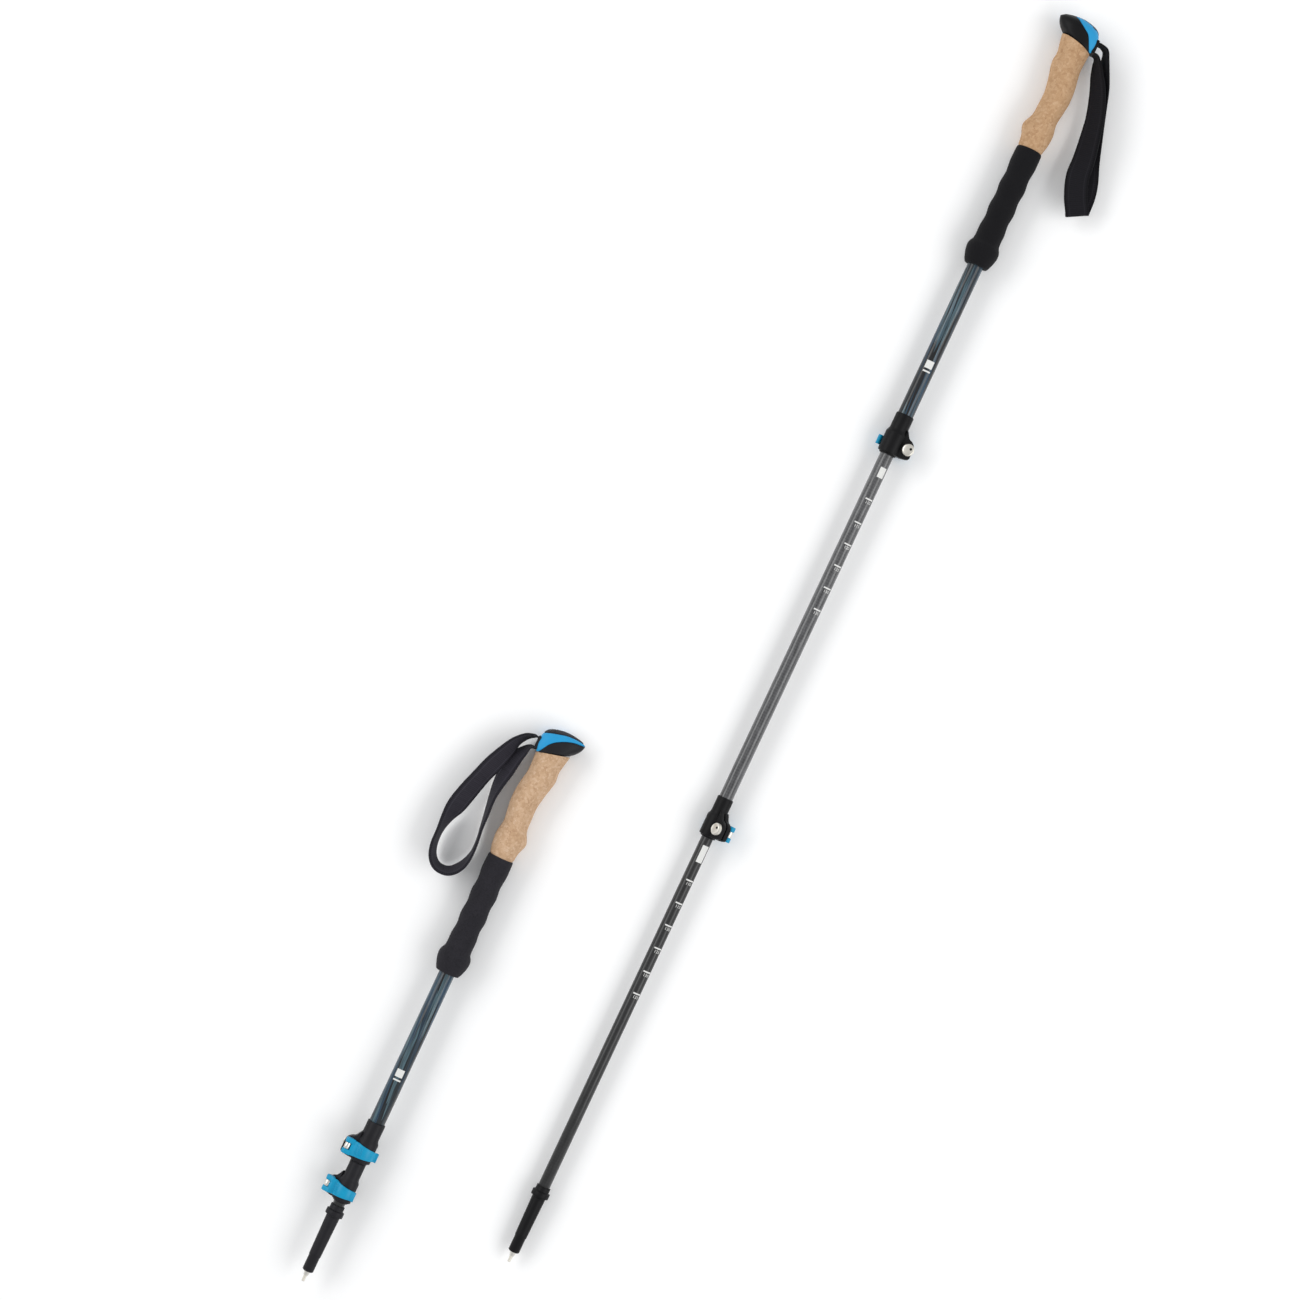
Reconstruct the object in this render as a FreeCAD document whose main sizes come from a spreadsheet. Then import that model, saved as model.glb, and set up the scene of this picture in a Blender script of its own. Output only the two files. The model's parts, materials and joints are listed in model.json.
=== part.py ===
"""A pair of three-section trekking poles with lever locks, lying side by side on a floor.

Row frame, millimetres: +Z up, +Y towards the grips, origin at the bottom centre of the pair.
Each pole is drawn in a frame of its own: z along the pole towards the head with 0 at the
bottom of the foam grip, x towards the horn of the head, y across. Both poles have the same
pieces; the long one is pulled out to full length and the short one is pushed together.
"""
import FreeCAD, Part
import math
import os
import Sketcher

V = FreeCAD.Vector
ALONG_Y = FreeCAD.Rotation(V(1, 0, 0), -90)
ALONG_Z = FreeCAD.Rotation()

SIZES = {
    # tubes
    "upper_tube_radius": 8.0, "upper_tube_bore": 7.15, "upper_tube_length": 429.0,
    "middle_tube_radius": 7.0, "middle_tube_bore": 6.15, "middle_tube_length": 452.0,
    "lower_tube_radius": 6.0, "lower_tube_bore": 5.2, "lower_tube_length": 470.0,
    "bushing_height": 12.0, "bushing_spigot": 8.0, "bushing_play": 0.07,
    # grip
    "foam_length": 125.7, "foam_radius": 13.4, "foam_groove_radius": 12.3,
    "foam_flange_radius": 16.7, "core_radius": 10.0, "core_height": 230.0,
    "cork_back_height": 234.5, "cork_front_height": 244.1,
    "head_width": 29.6,
    # wrist strap and its anchorage
    "slot_width": 19.2, "slot_height": 13.4, "slot_bottom": 237.0, "slot_end": -2.4,
    "webbing_width": 18.0, "webbing_thickness": 1.6, "pad_width": 24.0,
    "strap_pin_radius": 1.5, "strap_pin_length": 24.0, "strap_pin_back": 6.5,
    "strap_pin_height": 243.6, "wedge_depth": 4.6, "wedge_height": 9.0, "wedge_back": 6.5,
    # lever locks
    "sleeve_wall": 1.2, "band_wall": 3.0, "lock_top": 30.8, "lock_bottom": 10.4,
    "lip_height": 1.5, "band_top": 11.8, "ear_reach": 10.5, "ear_thickness": 12.0,
    "ear_height": 18.6, "split_gap": 1.5, "screw_reach": 5.6, "screw_radius": 2.0,
    "screw_end": 9.4, "eye_radius": 3.0, "eye_height": 6.0, "pivot_radius": 1.5,
    "pivot_depth": 10.4, "pivot_length": 14.2, "cam_radius": 4.0, "cam_offset": 0.35,
    "lever_height": 14.8, "lever_gap": 0.35, "lever_wall": 2.05, "lever_sweep": 130.0,
    "fork_gap": 6.4, "tab_reach": 4.6, "tab_thickness": 2.7, "washer_radius": 5.2,
    "washer_thickness": 0.6, "nut_radius": 6.2, "nut_thickness": 4.0, "nut_play": 0.05,
    # foot
    "stem_length": 71.0, "stem_top_radius": 7.2, "collar_radius": 9.1, "collar_height": 5.0,
    "foot_radius": 5.7, "foot_length": 16.0, "ferrule_radius": 3.15, "ferrule_spigot": 2.4,
    "ferrule_spigot_length": 24.0, "ferrule_length": 4.3, "tip_radius": 1.9,
    "tip_end_radius": 1.5, "tip_length": 8.6, "tip_socket": 2.1,
    # how the pieces sit along the pole when it is fully extended
    "upper_tube_end": -199.0, "upper_screw": -193.0, "middle_tube_end": -617.0,
    "lower_screw": -610.0, "lower_tube_end": -1040.0, "stem_top": -1002.7,
    "middle_travel": 374.0, "lower_travel": 376.5,
    # how the two poles lie
    "flange_centre": 17.7, "pole_spacing": 175.9, "pole_stagger": 851.6,
    "long_slope": 0.3, "long_height": 16.7, "short_slope": -0.63, "short_height": 17.65,
}

# Cork section heights with the reach to the front, to the back and to each side.
CORK_SECTIONS = [
    (125.7, 12.6, 12.2, 13.0), (136.0, 13.9, 14.5, 14.6), (147.0, 17.2, 15.3, 15.6),
    (159.5, 12.4, 13.4, 13.6), (172.0, 11.6, 14.9, 14.0), (184.0, 11.3, 16.2, 14.4),
    (199.0, 13.8, 15.3, 14.4), (214.5, 17.2, 12.7, 14.0), (225.0, 16.4, 12.8, 14.0),
    (237.0, 18.6, 13.8, 15.0), (248.0, 20.4, 15.2, 15.4),
]

# Side views of the seams in the head, as (towards the horn, height).
SHELL_SEAM = [(28.0, 259.4), (18.5, 259.0), (10.5, 256.2), (3.0, 252.4), (-4.7, 247.0),
              (-8.0, 240.5), (-11.0, 235.4)]
PAD_SEAM = [(-13.4, 256.0), (-9.5, 257.8), (-0.7, 260.2), (7.5, 262.2), (15.0, 262.4),
            (28.0, 260.6)]

# Half of the head's plan, as (towards the horn, half width).
HEAD_PLAN = [(-16.2, 11.4), (-12.0, 13.6), (0.0, 14.8), (14.0, 13.4), (23.5, 9.0), (28.8, 4.0)]

# Middle line of each wrist loop, as (distance behind the pole's axis, height, distance to the
# nut side, twist). The long pole's loop is folded flat: its two arms lie on each other.
LONG_LOOP = [(20.4, 248.5, 0, 0), (26.6, 245.5, 0, 8), (30.2, 236.5, -0.5, 16),
             (33.6, 225.0, -1.5, 28), (38.4, 209.5, -2.4, 40), (43.0, 192.0, -3.0, 46),
             (50.4, 165.5, -3.0, 54), (58.0, 139.0, -3.0, 68), (64.6, 121.0, -3.0, 82),
             (67.8, 107.5, -3.0, 90), (68.6, 92.2, -2.4, 90), (69.4, 88.3, -1.2, 90),
             (69.4, 88.3, 1.2, 90), (67.0, 92.0, 2.4, 90), (60.4, 103.4, 2.8, 90),
             (54.0, 121.0, 3.0, 84), (52.2, 140.0, 3.0, 66), (48.2, 164.5, 3.0, 52),
             (44.0, 184.0, 3.0, 45), (36.2, 205.5, 2.4, 39), (28.8, 220.0, 1.5, 31),
             (24.2, 229.5, 0.5, 20), (20.4, 236.5, 0, 6)]
SHORT_LOOP = [(20.4, 248.5, 0, 10), (27.5, 244.6, 0, 19), (34.4, 236.2, -1.5, 27),
              (38.4, 226.0, -3.0, 40), (45.4, 208.0, -3.2, 50), (51.4, 191.0, -3.0, 47),
              (57.2, 171.5, -2.0, 52), (61.6, 154.0, -0.8, 50), (64.9, 139.5, 0, 27),
              (66.2, 125.0, 0, 12), (65.8, 110.5, 0, 11), (62.4, 99.5, 0, 12),
              (56.0, 92.4, 0, 14), (48.2, 90.4, 0, 16), (40.3, 92.4, 0, 18),
              (33.6, 99.2, 0, 18), (29.4, 108.5, 0, 13), (27.7, 119.0, 0, 7),
              (28.2, 131.0, 0, 5), (29.9, 144.0, 0, 6), (31.2, 158.0, 0.6, 11),
              (33.1, 175.5, 1.6, 17), (33.0, 192.0, 2.6, 31), (31.4, 207.0, 2.8, 45),
              (28.6, 220.0, 1.8, 43), (24.8, 229.3, 0.5, 33), (20.4, 236.6, 0, 12)]
LONG_FOLD = (-0.872, 0.490)

POLES = [
    {"name": "long", "side": 1, "middle_in": 0.0, "lower_in": 0.0, "middle_turn": -50.0,
     "lower_turn": -50.0, "loop": LONG_LOOP, "fold": LONG_FOLD},
    {"name": "short", "side": -1, "middle_in": 1.0, "lower_in": 1.0, "middle_turn": -30.0,
     "lower_turn": -30.0, "loop": SHORT_LOOP, "fold": None},
]


def make_sheet(doc):
    """The driving dimensions, one named cell each."""
    sheet = doc.addObject("Spreadsheet::Sheet", "Sizes")
    for row, (name, value) in enumerate(SIZES.items(), start=1):
        sheet.set("A%d" % row, name)
        sheet.set("B%d" % row, "%g" % value)
        sheet.setAlias("B%d" % row, name)
    doc.recompute()


def sized(*terms):
    """A sum of named sizes and plain numbers, as (value now, expression)."""
    total = 0.0
    words = []
    for term in terms:
        if isinstance(term, str):
            sign = -1.0 if term.startswith("-") else 1.0
            name = term.lstrip("-")
            total += sign * SIZES[name]
            words.append("%s Sizes.%s" % ("-" if sign < 0 else "+", name))
        else:
            total += term
            words.append("%+g" % term)
    return total, " ".join(words).lstrip("+ ")


def as_size(term):
    """Lets a size be given as a name, a number or a sum made by sized()."""
    return term if isinstance(term, tuple) else sized(term)


def bind(obj, prop, term):
    """Sets a property to a size and binds it to the sheet."""
    value, expression = as_size(term)
    if not prop.startswith("Placement"):
        setattr(obj, prop, value)
    if "Sizes." in expression:
        obj.setExpression(prop, expression)


def cylinder(doc, radius, height, at=(0, 0, 0), along=ALONG_Z, centred=False, angle=None):
    obj = doc.addObject("Part::Cylinder", "Cylinder")
    bind(obj, "Radius", radius)
    bind(obj, "Height", height)
    if angle is not None:
        bind(obj, "Angle", angle)
    back = as_size(height)[0] / 2.0 if centred else 0.0
    obj.Placement = FreeCAD.Placement(V(*at) - along.multVec(V(0, 0, back)), along)
    return obj


def box(doc, x_range, y_range, z_range):
    """A box between two positions on each axis."""
    obj = doc.addObject("Part::Box", "Box")
    for prop, (low, high) in zip(("Length", "Width", "Height"), (x_range, y_range, z_range)):
        setattr(obj, prop, high - low)
    obj.Placement.Base = V(x_range[0], y_range[0], z_range[0])
    return obj


def fuse(doc, pieces):
    obj = doc.addObject("Part::MultiFuse", "Fused")
    obj.Shapes = pieces
    obj.Refine = True
    return obj


def cut(doc, base, tool):
    obj = doc.addObject("Part::Cut", "Cut")
    obj.Base = base
    obj.Tool = tool
    return obj


def common(doc, first, second):
    obj = doc.addObject("Part::MultiCommon", "Common")
    obj.Shapes = [first, second]
    return obj


def plane_of(body, role):
    return [item for item in body.Origin.OriginFeatures if item.Role == role][0]


def draw_outline(body, role, points):
    """A closed outline of straight edges, every corner held to the sketch's origin."""
    sketch = body.newObject("Sketcher::SketchObject", "Outline")
    sketch.AttachmentSupport = (plane_of(body, role), [""])
    sketch.MapMode = "FlatFace"
    corners = [(as_size(x), as_size(y)) for x, y in points]
    ends = corners[1:] + corners[:1]
    for (x, y), (next_x, next_y) in zip(corners, ends):
        sketch.addGeometry(Part.LineSegment(V(x[0], y[0], 0), V(next_x[0], next_y[0], 0)))
    for edge in range(len(corners)):
        following = (edge + 1) % len(corners)
        sketch.addConstraint(Sketcher.Constraint("Coincident", edge, 2, following, 1))
    for edge, corner in enumerate(corners):
        for kind, (value, expression) in zip(("DistanceX", "DistanceY"), corner):
            if abs(value) < 1e-9:
                axis = -2 if kind == "DistanceX" else -1
                sketch.addConstraint(Sketcher.Constraint("PointOnObject", edge, 1, axis))
                continue
            held = sketch.addConstraint(Sketcher.Constraint(kind, -1, 1, edge, 1, value))
            if "Sizes." in expression:
                sketch.setExpression("Constraints[%d]" % held, expression)
    return sketch


def turned(doc, points):
    """A piece turned about the pole's axis from its half section of (radius, height)."""
    body = doc.addObject("PartDesign::Body", "Turned")
    sketch = draw_outline(body, "XZ_Plane", points)
    doc.recompute()
    turn = body.newObject("PartDesign::Revolution", "Turn")
    turn.Profile = sketch
    turn.ReferenceAxis = (sketch, ["V_Axis"])
    turn.Angle = 360
    return body


def slab(doc, role, points, thickness):
    """A straight-sided piece padded both ways from its outline on a plane of its own."""
    body = doc.addObject("PartDesign::Body", "Slab")
    sketch = draw_outline(body, role, points)
    doc.recompute()
    pad = body.newObject("PartDesign::Pad", "Pad")
    pad.Profile = sketch
    pad.Midplane = True
    bind(pad, "Length", thickness)
    return body


# ---------------------------------------------------------------- grip and head

def foam_grip(doc):
    """Rippled foam sleeve with a flared flange near its lower end."""
    outline = [("core_radius", 0), (sized("foam_groove_radius", -0.6), 0),
               (sized("foam_radius", 0.4), 5.0), (sized("foam_flange_radius", -0.7), 12.5),
               ("foam_flange_radius", "flange_centre"), (sized("foam_flange_radius", -1.0), 21.0),
               ("foam_radius", 25.5)]
    for groove in (49.5, 73.0, 97.0):
        outline.append(("foam_radius", groove - 11.0))
        outline.append(("foam_groove_radius", groove))
    outline += [("foam_radius", 112.0), (sized("foam_radius", -0.8), "foam_length"),
                ("core_radius", "foam_length")]
    return turned(doc, outline)


def grip_core(doc):
    """Plastic liner that the grip is moulded on; the upper tube is glued inside it."""
    return turned(doc, [("upper_tube_radius", 1.5), ("core_radius", 1.5),
                        ("core_radius", sized("core_height", 3.0)),
                        (0, sized("core_height", 3.0)), (0, "core_height"),
                        ("upper_tube_radius", "core_height")])


def ellipse_wire(height, front, back, side):
    ellipse = Part.Ellipse(V((front - back) / 2.0, 0, height), (front + back) / 2.0,
                           min(side, (front + back) / 2.0 - 0.01))
    return Part.Wire([ellipse.toShape()])


def cork_grip(doc):
    """Free-form cork grip: a loft through oval sections, bored for the core."""
    wires = [ellipse_wire(*section) for section in CORK_SECTIONS]
    blank = doc.addObject("Part::Feature", "CorkBlank")
    blank.Shape = Part.makeLoft(wires, True)
    bored = cut(doc, blank, cylinder(doc, "core_radius", 200.0, at=(0, 0, 100.0)))
    rise = SIZES["cork_front_height"] - SIZES["cork_back_height"]
    slope = math.degrees(math.atan2(rise, 32.5))
    above = box(doc, (-60.0, 60.0), (-40.0, 40.0), (0.0, 60.0))
    above.Placement = FreeCAD.Placement(V(-13.6, 0, SIZES["cork_back_height"]),
                                        FreeCAD.Rotation(V(0, 1, 0), -slope), V(0, 0, 0))
    above.Placement = above.Placement.multiply(FreeCAD.Placement(V(-60, -40, 0), ALONG_Z))
    return cut(doc, bored, above)


def head_plan(doc):
    """Plan view of the head, widest over the pole and narrow at the horn."""
    far_side = [(x, -half) for x, half in reversed(HEAD_PLAN)]
    return slab(doc, "XY_Plane", HEAD_PLAN + far_side, 600.0)


def strap_hollow(doc):
    """The slot that the webbing enters and the well that its wedge drops into."""
    half = SIZES["slot_width"] / 2.0
    bottom = SIZES["slot_bottom"]
    slot = box(doc, (-30.0, SIZES["slot_end"]), (-half, half),
               (bottom, bottom + SIZES["slot_height"]))
    depth = SIZES["wedge_depth"] / 2.0 + 0.1
    back = SIZES["wedge_back"]
    well = box(doc, (-back - depth, -back + depth), (-half, half), (bottom + 3.0, 270.0))
    pin = cylinder(doc, "strap_pin_radius", "strap_pin_length",
                   at=(-SIZES["strap_pin_back"], 0, SIZES["strap_pin_height"]),
                   along=ALONG_Y, centred=True)
    return fuse(doc, [slot, well, pin])


def head_piece(doc, outline):
    solid = common(doc, slab(doc, "XZ_Plane", outline, "head_width"), head_plan(doc))
    return cut(doc, solid, strap_hollow(doc))


def head_shell(doc):
    """Hard black moulding under the palm, from the cork to the horn."""
    return head_piece(doc, SHELL_SEAM + [(18.9, 244.2), (26.8, 253.0)])


def head_overmould(doc):
    """Coloured soft moulding over the back of the head and along to the horn."""
    return head_piece(doc, SHELL_SEAM + [(-13.6, 234.6), (-16.0, 246.3)] + PAD_SEAM)


def head_top_pad(doc):
    """Thin dark pad over the top of the head."""
    return head_piece(doc, PAD_SEAM + [(28.6, 261.2), (22.6, 263.2), (14.8, 264.3),
                                       (6.2, 264.8), (-6.9, 262.2), (-12.4, 258.8)])


def strap_pin(doc):
    """Cross pin that the webbing turns round inside the head."""
    return cylinder(doc, "strap_pin_radius", "strap_pin_length",
                    at=(-SIZES["strap_pin_back"], 0, SIZES["strap_pin_height"]),
                    along=ALONG_Y, centred=True)


def strap_wedge(doc):
    """Wedge that locks the webbing on its pin and lifts out of the top of the head."""
    back = SIZES["wedge_back"]
    top = SIZES["slot_bottom"] + SIZES["slot_height"] + SIZES["wedge_height"]
    bottom = SIZES["strap_pin_height"] + SIZES["strap_pin_radius"] + 2.3
    depth = SIZES["wedge_depth"] / 2.0
    outline = [(-back - depth + 1.0, bottom), (-back + depth - 1.0, bottom),
               (-back + depth, bottom + 5.0), (-back + depth, top),
               (-back - depth, top), (-back - depth, bottom + 5.0)]
    return slab(doc, "XZ_Plane", outline, sized("slot_width", -0.4))


def flat_face(*corners):
    return Part.Face(Part.makePolygon(list(corners) + [corners[0]]))


def webbing(doc, route, width, thickness, fold=None):
    """Flat webbing along a route of (x, height, y, twist), with flat facets between sections.

    The width lies along y where the twist is 0. The twist turns it towards fold, a direction
    given as (x, height), or towards the side of the route where there is none.
    """
    sections = []
    for index, (x, height, side, twist) in enumerate(route):
        before = route[max(index - 1, 0)]
        after = route[min(index + 1, len(route) - 1)]
        along = V(after[0] - before[0], after[2] - before[2], after[1] - before[1])
        along.normalize()
        across = V(fold[0], 0, fold[1]) if fold else V(-along.z, 0, along.x)
        lean = math.radians(twist)
        broad = V(0, math.cos(lean), 0) + across * math.sin(lean)
        broad = broad - along * broad.dot(along)
        broad.normalize()
        thin = along.cross(broad)
        middle = V(x, side, height)
        sections.append([middle + broad * (edge * width / 2.0) + thin * (face * thickness / 2.0)
                         for edge, face in ((1, 1), (1, -1), (-1, -1), (-1, 1))])
    faces = [flat_face(*sections[0]), flat_face(*sections[-1])]
    for near, far in zip(sections, sections[1:]):
        for corner in range(4):
            following = (corner + 1) % 4
            faces.append(flat_face(near[corner], near[following], far[following]))
            faces.append(flat_face(near[corner], far[following], far[corner]))
    solid = Part.makeSolid(Part.makeShell(faces))
    if solid.Volume < 0:
        solid.reverse()
    band = doc.addObject("Part::Feature", "Webbing")
    band.Shape = solid
    return band


def strap_root(doc):
    """The stretch of webbing inside the head, turned round the pin."""
    radius = SIZES["strap_pin_radius"] + SIZES["webbing_thickness"] / 2.0 + 0.15
    back = SIZES["strap_pin_back"]
    level = SIZES["strap_pin_height"]
    route = [(-15.2, 248.6, 0, 0), (-10.0, 247.4, 0, 0)]
    for angle in range(90, -91, -30):
        turn = math.radians(angle)
        route.append((-back + radius * math.cos(turn), level + radius * math.sin(turn), 0, 0))
    route += [(-10.0, 240.0, 0, 0), (-14.6, 238.3, 0, 0)]
    return webbing(doc, route, SIZES["webbing_width"], SIZES["webbing_thickness"])


def strap_loop(doc, pole):
    """The wrist loop outside the head, with its padded face."""
    route = [(-behind, height, side, twist) for behind, height, side, twist in pole["loop"]]
    return webbing(doc, route, SIZES["pad_width"], SIZES["webbing_thickness"] + 0.8, pole["fold"])


# ---------------------------------------------------------------- tubes

def plain_tube(doc, radius, bore, length):
    return turned(doc, [(bore, 0), (radius, 0), (radius, length), (bore, length)])


def bushing(doc, outer_bore, own_bore):
    """Slide bushing on the top of a tube, with a spigot glued inside it."""
    rim = sized(outer_bore, "-bushing_play")
    wall = sized(own_bore, -1.2)
    return turned(doc, [(wall, sized("-bushing_spigot")), (own_bore, sized("-bushing_spigot")),
                        (own_bore, 0), (rim, 0), (rim, "bushing_height"),
                        (wall, "bushing_height")])


# ---------------------------------------------------------------- lever locks

def lock_screw_back(tube):
    return SIZES[tube + "_tube_radius"] + SIZES["band_wall"] + SIZES["screw_reach"]


def lock_body(doc, tube, inner_tube):
    """Clamp glued on the end of a tube: sleeve, split band with two ears, and end lip."""
    radius = tube + "_tube_radius"
    outer = SIZES[radius] + SIZES["band_wall"]
    bottom = -SIZES["lock_bottom"]
    half_ear = SIZES["ear_thickness"] / 2.0
    half_height = SIZES["ear_height"] / 2.0
    sleeve = cylinder(doc, sized(radius, "sleeve_wall"), sized("lock_top", "lock_bottom"),
                      at=(0, 0, bottom))
    band = cylinder(doc, sized(radius, "band_wall"), sized("band_top", "lock_bottom"),
                    at=(0, 0, bottom))
    lip = cylinder(doc, sized(radius, 0.7), "lip_height", at=(0, 0, bottom - SIZES["lip_height"]))
    ears = box(doc, (-outer - SIZES["ear_reach"], -SIZES[radius] - 0.5), (-half_ear, half_ear),
               (-half_height, half_height))
    solid = fuse(doc, [sleeve, band, lip, ears])
    seat = cylinder(doc, radius, 60.0, at=(0, 0, -7.2))
    mouth = cylinder(doc, sized(inner_tube + "_tube_radius", 0.1), 40.0, at=(0, 0, -30.0))
    half_gap = SIZES["split_gap"] / 2.0
    split = box(doc, (-40.0, -SIZES[radius] + 2.0), (-half_gap, half_gap),
                (-30.0, SIZES["band_top"] + 1.0))
    hole = cylinder(doc, sized("screw_radius", 0.15), 40.0,
                    at=(-lock_screw_back(tube), 0, 0), along=ALONG_Y, centred=True)
    return cut(doc, solid, fuse(doc, [seat, mouth, split, hole]))


def lock_screw(doc, tube):
    """Tension screw across the ears, with an eye at the lever's end."""
    back = -lock_screw_back(tube)
    depth = -SIZES["pivot_depth"]
    shank = cylinder(doc, "screw_radius", sized("pivot_depth", "screw_end"), at=(back, depth, 0),
                     along=ALONG_Y)
    eye = cylinder(doc, "eye_radius", "eye_height", at=(back, depth, 0), centred=True)
    pivot = cylinder(doc, "pivot_radius", 40.0, at=(back, depth, 0), centred=True)
    return cut(doc, fuse(doc, [shank, eye]), pivot)


def lock_pin(doc, tube):
    """Pivot pin through the screw's eye and the lever's fork."""
    return cylinder(doc, "pivot_radius", "pivot_length",
                    at=(-lock_screw_back(tube), -SIZES["pivot_depth"], 0), centred=True)


def lock_washer(doc, tube):
    back = -lock_screw_back(tube)
    face = SIZES["ear_thickness"] / 2.0
    disc = cylinder(doc, "washer_radius", "washer_thickness", at=(back, face, 0), along=ALONG_Y)
    return cut(doc, disc, cylinder(doc, sized("screw_radius", 0.1), 40.0, at=(back, 0, 0),
                                   along=ALONG_Y))


def lock_nut(doc, tube):
    """Round thumb nut on the end of the screw."""
    back = -lock_screw_back(tube)
    face = SIZES["ear_thickness"] / 2.0 + SIZES["washer_thickness"] + SIZES["nut_play"]
    disc = cylinder(doc, "nut_radius", "nut_thickness", at=(back, face, 0), along=ALONG_Y)
    return cut(doc, disc, cylinder(doc, sized("screw_radius", "nut_play"), 40.0,
                                   at=(back, 0, 0), along=ALONG_Y))


def lock_lever(doc, tube):
    """Cam lever: a forked cam on the pivot, an arm that wraps the band, and a thumb tab."""
    outer = SIZES[tube + "_tube_radius"] + SIZES["band_wall"]
    back = -lock_screw_back(tube)
    depth = -SIZES["pivot_depth"]
    half = SIZES["lever_height"] / 2.0
    start = -135.0
    shell = cylinder(doc, sized(tube + "_tube_radius", "band_wall", "lever_gap", "lever_wall"),
                     "lever_height", centred=True, angle="lever_sweep")
    shell.Placement.Rotation = FreeCAD.Rotation(V(0, 0, 1), start)
    hollow = cylinder(doc, sized(tube + "_tube_radius", "band_wall", "lever_gap"), 40.0,
                      centred=True)
    arm = cut(doc, shell, hollow)
    bar = box(doc, (back, -outer + 3.7), (depth - 2.2, depth + 1.4), (-half, half))
    cam = cylinder(doc, "cam_radius", "lever_height",
                   at=(back, depth + SIZES["cam_offset"], 0), centred=True)
    tab_top = -1.0
    tab = box(doc, (outer + SIZES["lever_gap"] + 0.1, outer + SIZES["tab_reach"]),
              (tab_top - SIZES["tab_thickness"], tab_top), (-half, half))
    solid = fuse(doc, [arm, bar, cam, tab])
    half_fork = SIZES["fork_gap"] / 2.0
    fork = box(doc, (back - 9.0, back + 4.1), (depth - 7.0, depth + 5.0), (-half_fork, half_fork))
    bore = cylinder(doc, sized("pivot_radius", 0.06), 40.0, at=(back, depth, 0), centred=True)
    return cut(doc, solid, fuse(doc, [fork, bore]))


# ---------------------------------------------------------------- foot

def tip_stem(doc):
    """Plastic stem on the end of the lower tube: basket collar, taper and foot spigot."""
    length = SIZES["stem_length"]
    foot = sized("foot_length", "-stem_length", 0.8)
    socket = sized("lower_tube_end", "-stem_top")
    return turned(doc, [
        ("lower_tube_radius", 0), ("stem_top_radius", 0), ("stem_top_radius", -4.5),
        ("collar_radius", -5.5), ("collar_radius", sized("-collar_height", -5.5)),
        (sized("stem_top_radius", -0.3), sized("-collar_height", -6.5)),
        (sized("foot_radius", 0.4), foot), ("foot_radius", sized("foot_length", "-stem_length")),
        ("foot_radius", sized("-stem_length", 1.0)), (4.6, -length),
        ("ferrule_spigot", -length),
        ("ferrule_spigot", sized("ferrule_spigot_length", "-stem_length")),
        (0, sized("ferrule_spigot_length", "-stem_length")), (0, socket),
        ("lower_tube_radius", socket)])


def tip_holder(doc):
    """Steel ferrule pressed into the stem; its socket holds the carbide tip."""
    return turned(doc, [(0, "ferrule_spigot_length"), ("ferrule_spigot", "ferrule_spigot_length"),
                        ("ferrule_spigot", 0), ("ferrule_radius", 0),
                        (sized("ferrule_radius", -0.7), sized("-ferrule_length")),
                        ("tip_radius", sized("-ferrule_length")),
                        ("tip_radius", sized("-ferrule_length", "tip_socket")),
                        (0, sized("-ferrule_length", "tip_socket"))])


def carbide_tip(doc):
    """Hard tip with a hollow end that bites on rock."""
    return turned(doc, [(0, 0), ("tip_radius", 0), ("tip_end_radius", sized("-tip_length")),
                        (0, sized("-tip_length", 0.8))])


# ---------------------------------------------------------------- assembly

def pole_placement(pole):
    """Lays a pole on the floor, horn outwards.

    The long pole rests on its foam flange and its lower lock, the short one on its head and
    its lower lock. The height is the axis's above the floor at the bottom of the foam.
    """
    slope = SIZES[pole["name"] + "_slope"]
    turn = FreeCAD.Rotation(V(-pole["side"], 0, 0), V(0, 0, pole["side"]), V(0, 1, 0))
    lean = FreeCAD.Rotation(V(1, 0, 0), slope)
    origin = V(SIZES["pole_spacing"] / 2.0, SIZES["pole_stagger"] / 2.0, 0) * pole["side"]
    origin.z = SIZES[pole["name"] + "_height"]
    return FreeCAD.Placement(origin, lean.multiply(turn))


def section_placement(pole, section):
    """Where one of the three telescopic sections sits in its pole."""
    slide = 0.0
    turn = 0.0
    if section in ("middle", "lower"):
        slide += pole["middle_in"] * SIZES["middle_travel"]
        turn = pole["middle_turn"]
    if section == "lower":
        slide += pole["lower_in"] * SIZES["lower_travel"]
        turn = pole["lower_turn"]
    return FreeCAD.Placement(V(0, 0, slide), FreeCAD.Rotation(V(0, 0, 1), turn))


def lock_pieces(doc, tube, inner_tube):
    return [("body", lock_body(doc, tube, inner_tube)), ("lever", lock_lever(doc, tube)),
            ("pin", lock_pin(doc, tube)), ("screw", lock_screw(doc, tube)),
            ("washer", lock_washer(doc, tube)), ("nut", lock_nut(doc, tube))]


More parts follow.
